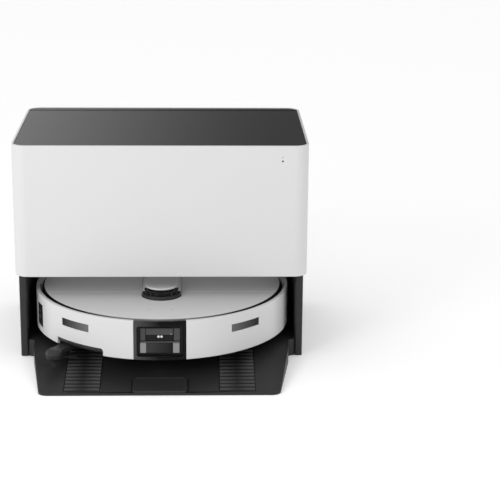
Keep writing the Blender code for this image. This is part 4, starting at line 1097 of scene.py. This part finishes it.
def make_camera_window():
    """Black window across the front: a bevelled frame round the camera, its lamps and side panels."""
    face = ROBOT_RADIUS - 0.0003
    half = PANE_HALF_ANGLE - 0.05
    low = ROBOT_BOTTOM + GAP
    inner = ROBOT_RADIUS - RIM_WIDTH
    lip = ROBOT_TOP - 0.0040
    outline = ((0.1732, low), (face, low), (face, ROBOT_TOP - 0.0034), (face - 0.0016, ROBOT_TOP - 0.0006),
               (inner + 0.0016, ROBOT_TOP - 0.0004), (inner, ROBOT_TOP - 0.0012), (inner, lip), (0.1732, lip))
    left, right, bottom, top = -0.0305, 0.0305, 0.0413, 0.0837
    ahead = ROBOT_Y - ROBOT_RADIUS - 0.01
    hole = front_prism(rounded_box((left, bottom), (right, top), 0.0035, 8), ahead, ROBOT_Y - 0.155)
    # Painted light: the frame is lighter towards its left end and black from the middle to the right.
    tone = smoked_painted_light("camera_frame_painted_light", -0.0353, 0.0, (0.062, 0.062, 0.063), (0.002, 0.002, 0.002), 0.22, 0.12)
    piece("camera_window_frame", sweep(outline, -half, half, 48), tone, "camera_window", 0.0004, cuts=[hole])
    rear = ROBOT_Y - 0.1683
    floor = rear - 0.0012

    def panel(name, near, far, depth, material, corner=0.0006, rounding=0.0003):
        shape = rounded_box(near, far, corner, 6)
        piece(name, front_prism(shape, floor - depth, floor + 0.0002), material, "camera_window", rounding,
              replaces=False)

    back = rounded_box((left + 0.0003, bottom + 0.0003), (right - 0.0003, top - 0.0003), 0.0033, 8)
    piece("camera_recess", front_prism(back, floor, rear), PANEL_DARK, "camera_window", 0.0002, replaces=False)
    rail_low, rail_high = 0.0609, 0.0618
    # Painted light: the middle panel is lighter towards its left end.
    middle_painted_light = smoked_painted_light("middle_panel_painted_light", -0.0172, 0.0148, (0.038, 0.038, 0.039), (0.007, 0.007, 0.007), 0.3)
    panel("camera_block_top", (-0.0183, 0.0712), (0.0172, 0.0800), 0.0026, PANEL_MID)
    panel("camera_block_bottom", (-0.0183, 0.0629), (0.0172, 0.0709), 0.0024, PANEL_DARK, 0.0024)
    panel("left_flood_lamp", (-0.0254, 0.0629), (-0.0190, 0.0800), 0.0016, PANEL_MID)
    panel("right_flood_lamp", (0.0183, 0.0629), (0.0263, 0.0800), 0.0016, PANEL_MID)
    panel("camera_rail", (-0.0254, rail_low), (0.0263, rail_high), 0.0030, PANEL_RAIL, 0.0004, 0.0002)
    panel("left_line_laser", (-0.0260, 0.0459), (-0.0180, 0.0600), 0.0020, PANEL_GREY, 0.0010)
    panel("right_line_laser", (0.0172, 0.0459), (0.0257, 0.0600), 0.0020, PANEL_GREY, 0.0010)
    panel("middle_panel", (-0.0172, 0.0459), (0.0148, 0.0600), 0.0012, middle_painted_light)
    panel("light_sensor", (0.0137, 0.0717), (0.0160, 0.0729), 0.0030, PANEL_GREY, 0.0005, 0.0001)
    # The camera's white dots glow a little: painted light against the recess shade.
    rings = []
    for x in (-0.0018, 0.0022):
        profile = circle((x, 0.0689), 0.0016, 24)
        rings.append(front_prism(profile, floor - 0.0030, floor - 0.0020))
    piece("camera_dots", merge(rings), WHITE_PAINTED_GLOW, "camera_window", 0.0003, replaces=False)
    low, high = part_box("camera_module")
    body = link("camera_module_body", block(low, high))
    for x, size in ((-0.012, 0.0052), (0.012, 0.0052)):
        boolean(body, front_prism(circle((x, 0.0690), size, 32), low.y - 0.01, low.y + 0.004))
    soften(body, 0.0008)
    place(body, BLACK_MATT, "camera_module")


# ---------------------------------------------------------------- robot underside and running gear
def camera_room(low, high):
    """Notch that the camera recess moves back into when the bumper is pressed."""
    return block((-0.0335, ROBOT_Y - 0.19, low), (0.0335, ROBOT_Y - 0.1647, high))


def make_top_plate():
    """Black plate under the covers, open at the turret, the dust bin and the camera recess."""
    turret = centre_of("lidar_rotor")
    bin_low, bin_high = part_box("dust_bin")
    low, high = DECK_LOW.z, DECK_HIGH.z
    radius = DECK_HIGH.x
    cuts = [prism(circle((turret.x, turret.y), 0.0205, 64), low - 0.01, high + 0.01),
            block((bin_low.x - 0.0015, bin_low.y - 0.0015, low - 0.01),
                  (bin_high.x + 0.0015, bin_high.y + 0.0015, high + 0.01)),
            camera_room(low - 0.01, high + 0.01)]
    plate = prism(circle((0, ROBOT_Y), radius, 160), low, high)
    piece("top_plate", plate, BLACK_MATT, "top_deck", 0.0003, cuts=cuts)


def make_chassis():
    """Floor pan: openings for what reaches the ground, screw wells and drop sensors."""
    radius = CHASSIS_HIGH.x
    centre = (0, ROBOT_Y)
    low, high = CHASSIS_LOW.z, CHASSIS_HIGH.z
    profile = [(radius - 0.0036, low), (radius - 0.0022, low + 0.0004), (radius, ROBOT_BOTTOM), (radius, high)]
    pan = link("floor_pan", turned(profile, centre, steps=160))
    cuts = []
    for side in (-1, 1):
        near, far = sorted((side * 0.0735, side * 0.1185))
        well = rounded_box((near, ROBOT_Y - 0.0455), (far, ROBOT_Y + 0.0195), 0.004, 6)
        cuts.append(prism(well, 0.02, 0.06))
        mop = centre_of("right_mop_plate")
        cuts.append(prism(circle((side * mop.x, mop.y), 0.061, 96), 0.02, 0.0455))
        cuts.append(prism(circle((side * mop.x, mop.y), 0.005, 24), 0.02, 0.06))
    cuts.append(prism(rounded_box((-0.083, ROBOT_Y - 0.096), (0.083, ROBOT_Y - 0.049), 0.003, 6), 0.02, 0.06))
    caster = centre_of("caster_fork")
    cuts.append(prism(circle((0, caster.y), 0.0175, 48), 0.02, 0.06))
    swing = next(joint for joint in frame["joints"] if joint["child"] == body_of("side_brush_arm"))
    at = (swing["pos_m"][0], swing["pos_m"][1])
    pocket = arc(at, 0.0145, 42, 132, 12) + arc(at, 0.110, 222, 312, 24)
    cuts.append(prism(pocket, 0.02, HUB_HIGH.z + 0.0005))
    cuts.append(camera_room(ROBOT_BOTTOM + 0.0034, high + 0.01))
    ledge = ((0.1655, HUB_HIGH.z + 0.0003), (0.1800, HUB_HIGH.z + 0.0003), (0.1800, 0.06), (0.1655, 0.06))
    cuts.append(sweep(ledge, -NOTCH_ANGLES[1] - 1.5, -NOTCH_ANGLES[0] + 1.5, 24))
    wells = ((0.052, -0.148), (0.130, -0.090), (0.148, 0.020), (-0.148, 0.020), (0.0, 0.150))
    for x, y in wells:
        cuts.append(prism(circle((x, ROBOT_Y + y), 0.0032, 24), low - 0.01, low + 0.0030))
    for x, y in ((0.030, -0.152), (-0.030, -0.152)):
        sensor = rounded_box((x - 0.010, ROBOT_Y + y - 0.0035), (x + 0.010, ROBOT_Y + y + 0.0035), 0.0030, 6)
        cuts.append(prism(sensor, low - 0.01, low + 0.0012))
    for cutter in cuts:
        boolean(pan, cutter)
    soften(pan, 0.0003)
    place(pan, BLACK_MATT, "chassis")
    screws = []
    for x, y in wells:
        screws.append(turned([(0.0001, low + 0.0012), (0.0020, low + 0.0013), (0.0024, low + 0.0020),
                              (0.0024, low + 0.0032)], (x, ROBOT_Y + y), steps=24))
    piece("chassis_screws", merge(screws), STEEL, "chassis", 0, replaces=False)
    eyes = [prism(rounded_box((x - 0.0095, ROBOT_Y - 0.1550), (x + 0.0095, ROBOT_Y - 0.1490), 0.0027, 6),
                  low + 0.0003, low + 0.0014) for x in (-0.030, 0.030)]
    piece("drop_sensors", merge(eyes), BLACK_GLOSS, "chassis", 0.0002, replaces=False)


def make_main_brush():
    """Rubber roller with V-shaped vanes."""
    low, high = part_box("main_brush")
    middle = centre_of("main_brush")
    radius = (high.y - low.y) / 2
    core = 0.0115
    sections = 48
    loops = []
    for number in range(sections + 1):
        x = low.x + (high.x - low.x) * number / sections
        twist = 75 * (1 - abs(x) / high.x)
        outline = []
        for vane in range(6):
            lean = 60 * vane + twist
            outline += arc((middle.y, middle.z), radius - 0.0002, lean - 2.5, lean + 2.5, 2)
            outline += arc((middle.y, middle.z), core, lean + 10, lean + 50, 5)
        loops.append([(x, y, z) for y, z in outline])
    piece("main_brush_roller", loft(loops), RUBBER, "main_brush", 0)


def make_drive():
    """Drive wheels: treaded tyres on spoked hubs, on sprung arms."""
    for word, side in (("left", -1), ("right", 1)):
        low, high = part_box(word + "_tyre")
        middle = centre_of(word + "_tyre")
        outer = (high.z - low.z) / 2
        steps = 144
        section = ((0.0, 0.0005), (0.0, 0.0), (0.0, 0.0), (0.0, 0.0005))
        width = high.x - low.x
        profile = [(0.0206, 0.0, 0), (outer - 0.0022, 0.0, 0), (outer - 0.0008, 0.0010, 0), (outer, 0.0024, 1),
                   (outer, 0.0072, 1), (outer, 0.5 * width, 1), (outer, width - 0.0072, 1),
                   (outer, width - 0.0024, 1), (outer - 0.0008, width - 0.0010, 0),
                   (outer - 0.0022, width, 0), (0.0206, width, 0)]
        loops = []
        for radius, x, tread in profile:
            loop = []
            for step in range(steps):
                skew = 0.10 * (1 - abs(2 * x / width - 1))
                lean = 2 * math.pi * step / steps + skew
                sunk = 0.0016 * tread * (step % 8 >= 5)
                loop.append((low.x + x, middle.y + (radius - sunk) * math.cos(lean),
                             middle.z + (radius - sunk) * math.sin(lean)))
            loops.append(loop)
        del section
        piece(word + "_tyre_tread", loft(loops, ring=True), RUBBER, word + "_tyre", 0)
        low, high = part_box(word + "_wheel_hub")
        inner_face = side * 0.0895
        outer_face = side * 0.1145
        profile = [(0.0001, side * 0.0850), (0.006, side * 0.0850), (0.006, inner_face), (0.0195, inner_face),
                   (0.0202, inner_face + side * 0.0007), (0.0202, outer_face - side * 0.0007),
                   (0.0195, outer_face), (0.0160, outer_face), (0.0150, outer_face - side * 0.0022),
                   (0.0060, outer_face - side * 0.0012), (0.0001, outer_face - side * 0.0004)]
        hub = link(word + "_hub_disc", wheel_turned(profile, (middle.y, middle.z)))
        for spoke in range(6):
            lean = math.radians(60 * spoke)
            at = (middle.y + 0.0105 * math.cos(lean), middle.z + 0.0105 * math.sin(lean))
            near, far = sorted((side * 0.1100, side * 0.1200))
            boolean(hub, side_prism(circle(at, 0.0029, 20), near, far))
        soften(hub, 0.0003)
        place(hub, GREY_MATT, word + "_wheel_hub")
        low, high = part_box(word + "_wheel_arm")
        pivot_at = next(joint for joint in frame["joints"] if joint["child"] == body_of(word + "_wheel_arm"))
        start = (pivot_at["pos_m"][1], pivot_at["pos_m"][2])
        bar = link_outline(start, (middle.y, middle.z), 0.005, 0.006)
        piece(word + "_arm_bar", side_prism(bar, low.x, high.x), GREY_MATT, word + "_wheel_arm", 0.0008)


def make_caster():
    """Swivelling fork with a white roller."""
    low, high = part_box("caster_fork")
    middle = centre_of("caster_fork")
    wheel = centre_of("caster_wheel")
    radius = (high.x - low.x) / 2
    profile = [(0.0001, low.z), (radius - 0.002, low.z), (radius, low.z + 0.002), (radius, low.z + 0.0150),
               (0.005, low.z + 0.0150), (0.005, high.z - 0.0005), (0.0045, high.z), (0.0001, high.z)]
    well = block((-0.0092, wheel.y - 0.0125, 0.02), (0.0092, wheel.y + 0.0125, 0.0490))
    piece("caster_fork_body", turned(profile, (0, middle.y), steps=48), GREY_MATT, "caster_fork", 0.0004,
          cuts=[well])
    low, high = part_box("caster_wheel")
    radius = (high.z - low.z) / 2
    profile = [(0.0001, low.x), (0.0040, low.x), (0.0050, low.x + 0.0006), (0.0088, low.x + 0.0006)]
    profile += arc((radius - 0.0014, -low.x), 0.0, 0, 0, 1)[:0]
    profile += [(0.0100, low.x), (0.0112, low.x + 0.0012), (radius, low.x + 0.0030), (radius, -0.0006),
                (radius - 0.0004, 0.0), (radius, 0.0006), (radius, high.x - 0.0030),
                (0.0112, high.x - 0.0012), (0.0100, high.x), (0.0088, high.x - 0.0006),
                (0.0050, high.x - 0.0006), (0.0040, high.x), (0.0001, high.x)]
    piece("caster_roller_body", wheel_turned(profile, (wheel.y, wheel.z), steps=48), ROBOT_WHITE,
          "caster_wheel", 0)


def make_side_brush():
    """Swing-out arm with a domed end, and a three-tuft brush under it."""
    swing = next(joint for joint in frame["joints"] if joint["child"] == body_of("side_brush_arm"))
    turn = next(joint for joint in frame["joints"] if joint["child"] == body_of("side_brush"))
    start = (swing["pos_m"][0], swing["pos_m"][1])
    hub = (turn["pos_m"][0], turn["pos_m"][1])
    low, high = HUB_LOW.z, HUB_HIGH.z
    arm = link("side_brush_arm_body", prism(link_outline(start, hub, 0.0100, 0.0080), low + 0.0006,
                                            high - 0.0012))
    boolean(arm, turned([(0.0114, low), (0.0115, low + 0.0016), (0.0108, high - 0.0026), (0.0086, high - 0.0009),
                         (0.0050, high - 0.0001), (0.0003, high)], hub, steps=64), "UNION")
    boolean(arm, turned(soft_profile(0.0112, low, high, 0.0004, 0.0010), start, steps=64), "UNION")
    soften(arm, 0.0006)
    place(arm, TRIM_GREY, "side_brush_arm")
    low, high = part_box("side_brush")
    dome = [(0.0003, low.z), (0.0050, low.z + 0.0001), (0.0088, low.z + 0.0014), (0.0110, low.z + 0.0038),
            (0.0115, low.z + 0.0062), (0.0113, high.z), (0.0003, high.z)]
    brush = link("side_brush_hub", turned(dome, hub, steps=64))
    height = 0.0271
    for number in range(3):
        lean = math.radians(120 * number + 20)
        root = (hub[0] + 0.006 * math.cos(lean), hub[1] + 0.006 * math.sin(lean))
        tip = (hub[0] + 0.0165 * math.cos(lean), hub[1] + 0.0165 * math.sin(lean))
        boolean(brush, prism(link_outline(root, tip, 0.0028, 0.0020, 8), height - 0.0009, height + 0.0009),
                "UNION")
    soften(brush, 0.0002)
    place(brush, RUBBER, "side_brush")
    hairs = []
    for number in range(3):
        for strand in range(11):
            spread_angle = 120 * number + 20 + (strand - 5) * 3.4
            lean = math.radians(spread_angle)
            droop = 0.0016 * noise.noise(Vector((number * 3.1, strand * 1.7, 0.5)))
            near = (hub[0] + 0.0150 * math.cos(math.radians(120 * number + 20 + (strand - 5) * 1.2)),
                    hub[1] + 0.0150 * math.sin(math.radians(120 * number + 20 + (strand - 5) * 1.2)))
            far = (hub[0] + 0.0305 * math.cos(lean), hub[1] + 0.0305 * math.sin(lean))
            loops = []
            for at, z, size in ((near, height, 0.00035), (far, height - 0.0006 + droop, 0.00018)):
                loops.append([(at[0] + u * size * math.sin(lean), at[1] - u * size * math.cos(lean), z + v * size)
                              for u, v in ((-1, -1), (1, -1), (1, 1), (-1, 1))])
            hairs.append(loft(loops))
    piece("side_brush_bristles", merge(hairs), RUBBER, "side_brush", 0, replaces=False)


def make_mops():
    """Lifting gearbox, spinning plates and looped-cloth pads."""
    low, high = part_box("mop_gearbox")
    box = link("mop_gearbox_case", block(low, high))
    for number in range(9):
        x = -0.070 + 0.0175 * number
        boolean(box, block((x, low.y - 0.01, low.z + 0.006), (x + 0.0025, low.y + 0.0012, high.z + 0.01)))
    soften(box, 0.0008)
    place(box, GREY_MATT, "mop_gearbox")
    for word in ("left", "right"):
        low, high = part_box(word + "_mop_plate")
        middle = centre_of(word + "_mop_plate")
        at = (middle.x, middle.y)
        radius = (high.x - low.x) / 2
        profile = [(0.0001, low.z), (radius - 0.0025, low.z), (radius, low.z + 0.0012), (radius, low.z + 0.0030),
                   (radius - 0.0015, low.z + 0.0040), (0.0052, low.z + 0.0040), (0.0035, low.z + 0.0052),
                   (0.0035, high.z - 0.0005), (0.0030, high.z), (0.0001, high.z)]
        piece(word + "_mop_disc", turned(profile, at), GREY_MATT, word + "_mop_plate", 0)
        make_mop_pad(word)


def make_mop_pad(word):
    """Ring of looped cloth: soft round section, with yarn tufts in slanting rows."""
    low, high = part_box(word + "_mop_pad")
    middle = centre_of(word + "_mop_pad")
    outer = (high.x - low.x) / 2 - 0.0009
    inner = 0.0190
    half = (outer - inner) / 2
    thick = (high.z - low.z) / 2 - 0.0006
    steps, around = 180, 44
    loops = []
    for step in range(steps):
        lean = 2 * math.pi * step / steps
        loop = []
        for point in range(around):
            turn = 2 * math.pi * point / around
            across = math.copysign(abs(math.cos(turn)) ** 0.55, math.cos(turn))
            up = math.copysign(abs(math.sin(turn)) ** 0.6, math.sin(turn))
            radius = inner + half + half * across
            rows = math.sin(30 * lean + radius * 260) * 0.00035
            tuft = noise.noise(Vector((radius * 520, lean * 34, up * 2.0))) * 0.0007
            swell = 1 + (rows + tuft) / thick
            z = middle.z + thick * up * min(swell, 1.15)
            radius += (rows + tuft) * across
            loop.append((middle.x + radius * math.cos(lean), middle.y + radius * math.sin(lean), z))
        loops.append(loop)
    pad = link(word + "_mop_cloth", loft(loops, ring=True))
    pad.data.shade_smooth()
    place(pad, MOP_CLOTH, word + "_mop_pad")


# ---------------------------------------------------------------- inside the robot
def make_inside():
    """Battery, board with chips, dust bin, fan and its casing."""
    low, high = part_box("battery_pack")
    outline = rounded_box((low.x, low.y), (high.x, high.y), 0.004, 8)
    band = 0.0008
    levels = ((0.0, low.z), (0.0, low.z + 0.008), (band, low.z + 0.009), (band, high.z - 0.004),
              (0.0, high.z - 0.003), (0.0, high.z))
    loops = [level(rounded_box((low.x + inset, low.y + inset), (high.x - inset, high.y - inset), 0.004, 8), z)
             for inset, z in levels]
    del outline
    piece("battery_case", loft(loops), GREY_MATT, "battery_pack", 0.0003)
    low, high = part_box("main_board")
    board = prism(rounded_box((low.x, low.y), (high.x, high.y), 0.002, 6), low.z, high.z)
    piece("main_board_sheet", board, CIRCUIT_BOARD, "main_board", 0.0002)
    chips = []
    for x, y, wide, deep, tall in ((-0.050, 0.012, 0.014, 0.014, 0.0014), (-0.022, 0.013, 0.010, 0.008, 0.0012),
                                   (0.004, 0.012, 0.018, 0.012, 0.0016), (0.038, 0.013, 0.009, 0.009, 0.0012),
                                   (0.060, 0.012, 0.012, 0.016, 0.0030)):
        chips.append(block((x - wide / 2, low.y + y - deep / 2, high.z + 0.00005),
                           (x + wide / 2, low.y + y + deep / 2, high.z + tall)))
    piece("main_board_chips", merge(chips), BLACK_MATT, "main_board", 0.0002, replaces=False)
    low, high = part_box("dust_bin")

    def wall(inset):
        return rounded_box((low.x + inset, low.y + inset), (high.x - inset, high.y - inset), 0.006 - inset, 8)

    rim = 0.0012
    levels = ((rim, low.z), (rim * 0.6, low.z + 0.0005), (rim * 0.6, high.z - 0.005), (0.0, high.z - 0.004),
              (0.0, high.z), (0.0022, high.z), (0.0022, low.z + 0.0020))
    piece("dust_bin_box", loft([level(wall(inset), z) for inset, z in levels]), SMOKE_TANK, "dust_bin", 0)
    low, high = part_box("fan_housing")
    middle = centre_of("fan_housing")
    radius = (high.x - low.x) / 2
    profile = [(0.0001, low.z), (radius - 0.0010, low.z), (radius, low.z + 0.0010), (radius, high.z - 0.0008),
               (radius - 0.0008, high.z), (radius - 0.0020, high.z), (radius - 0.0020, low.z + 0.0020),
               (0.0001, low.z + 0.0020)]
    piece("fan_casing", turned(profile, (middle.x, middle.y)), GREY_MATT, "fan_housing", 0)
    make_fan()


def make_fan():
    """Fan wheel: a hub disc with swept blades."""
    low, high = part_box("fan_impeller")
    joint = next(joint for joint in frame["joints"] if joint["child"] == body_of("fan_impeller"))
    centre = (joint["pos_m"][0], joint["pos_m"][1])
    wheel = [turned([(0.0001, low.z), (0.0160, low.z), (0.0160, low.z + 0.0014), (0.0070, low.z + 0.0022),
                     (0.0050, high.z - 0.001), (0.0001, high.z)], centre, steps=48)]
    for blade in range(9):
        lean = 40 * blade
        inner = arc(centre, 0.0062, lean, lean + 6, 1)
        middle = arc(centre, 0.0110, lean + 16, lean + 20, 1)
        outer = arc(centre, 0.0160, lean + 40, lean + 43, 1)
        outline = [inner[0], middle[0], outer[0], outer[1], middle[1], inner[1]]
        wheel.append(prism(outline, low.z + 0.0010, high.z - 0.0015))
    fan = link("fan_wheel", wheel[0])
    for blade in wheel[1:]:
        boolean(fan, blade, "UNION")
    soften(fan, 0)
    place(fan, GREY_MATT, "fan_impeller")


# ---------------------------------------------------------------- CAD nodes that show as they are
FINISHES = {
    "black_plastic": BLACK_MATT,
    "dark_gloss": LID_DARK,
}


def dress_cad():
    """Give the CAD nodes that still show their procedural finish."""
    for name, node in frame["nodes"].items():
        node.data.materials.clear()
        node.data.materials.append(FINISHES.get(slot_of(name), GREY_MATT))
        node.data.shade_smooth()
        node.data.set_sharp_from_angle(angle=math.radians(35))


# ---------------------------------------------------------------- stage
def make_floor():
    material, tree, shader = shader_for("studio_floor")
    shader.inputs["Base Color"].default_value = (0.95, 0.95, 0.95, 1.0)
    shader.inputs["Roughness"].default_value = 0.9
    shader.inputs["Specular IOR Level"].default_value = 0.05
    shader.inputs["Emission Color"].default_value = (1.0, 1.0, 1.0, 1.0)
    shader.inputs["Emission Strength"].default_value = 0.22
    size = 12.0
    floor = link("studio_floor", block((-size, -size, -0.02), (size, size, -0.0004)))
    floor.data.materials.append(material)


def add_area(name, at, aim, size, power):
    data = bpy.data.lights.new(name, "AREA")
    data.shape = "RECTANGLE"
    data.size, data.size_y = size
    data.energy = power
    lamp_object = bpy.data.objects.new(name, data)
    lamp_object.location = at
    lamp_object.rotation_mode = "QUATERNION"
    lamp_object.rotation_quaternion = (Vector(aim) - Vector(at)).to_track_quat("-Z", "Y")
    bpy.context.scene.collection.objects.link(lamp_object)
    return lamp_object


def world_range(tree, value, low, high):
    node = tree.nodes.new("ShaderNodeMapRange")
    node.interpolation_type = "SMOOTHSTEP"
    node.inputs["From Min"].default_value = low
    node.inputs["From Max"].default_value = high
    tree.links.new(value, node.inputs["Value"])
    return node.outputs["Result"]


def make_world():
    """Bright room with a dark flag behind and to the right, which the lid mirrors."""
    world = bpy.data.worlds.new("studio")
    world.use_nodes = True
    tree = world.node_tree
    back = tree.nodes["Background"]
    place_node = tree.nodes.new("ShaderNodeTexCoord")
    split = tree.nodes.new("ShaderNodeSeparateXYZ")
    tree.links.new(place_node.outputs["Generated"], split.inputs[0])
    sideways = world_range(tree, split.outputs["X"], -0.22, 0.06)
    behind = world_range(tree, split.outputs["Y"], 0.55, 0.85)
    flag = tree.nodes.new("ShaderNodeMath")
    flag.operation = "MULTIPLY"
    tree.links.new(sideways, flag.inputs[0])
    tree.links.new(behind, flag.inputs[1])
    shade = tint(tree, flag.outputs[0], (0.92, 0.92, 0.92), (0.12, 0.12, 0.12))
    tree.links.new(shade, back.inputs["Color"])
    back.inputs["Strength"].default_value = 0.90
    bpy.context.scene.world = world


def make_lights():
    add_area("key", (-1.05, -1.35, 0.90), (0, 0, 0.15), (0.8, 0.8), 9.0)
    bounce = add_area("bay_bounce", (0.0, 0.05, HOUSING_LOW.z - 0.0010), (0.0, 0.05, 0.0), (0.34, 0.18), 0.045)
    bounce.visible_camera = False
    bounce.visible_glossy = False
    make_world()
    bpy.context.scene.view_settings.view_transform = "Standard"


def make_camera():
    """The viewing angle: in front and above, with the object left of the middle."""
    data = bpy.data.cameras.new("camera")
    data.sensor_width = 36.0
    data.lens = 117.5
    camera = bpy.data.objects.new("camera", data)
    camera.location = (0.0485, -2.1894, 0.7815)
    camera.rotation_mode = "QUATERNION"
    aim = Vector((0.0340, 1.0, -0.2936))
    camera.rotation_quaternion = Quaternion(aim, math.radians(-0.5)) @ aim.to_track_quat("-Z", "Y")
    bpy.context.scene.collection.objects.link(camera)
    bpy.context.scene.camera = camera


def make_station():
    make_housing()
    make_power_inlet()
    make_lid()
    make_side_walls()
    make_rear_wall()
    make_base()
    make_tracks()
    make_front_tab()
    make_wash_tray()
    make_tank("clean", SMOKE_TANK)
    make_tank("dirty", GREY_MATT)
    make_dust_bag()
    make_suction_motor()


def make_robot():
    make_bumper()
    make_rear_shell()
    make_panes()
    make_covers()
    make_key_icons()
    make_lidar_tower()
    make_camera_window()
    make_top_plate()
    make_chassis()
    make_main_brush()
    make_drive()
    make_caster()
    make_side_brush()
    make_mops()
    make_inside()


make_camera()
make_floor()
make_lights()
dress_cad()
make_station()
make_robot()
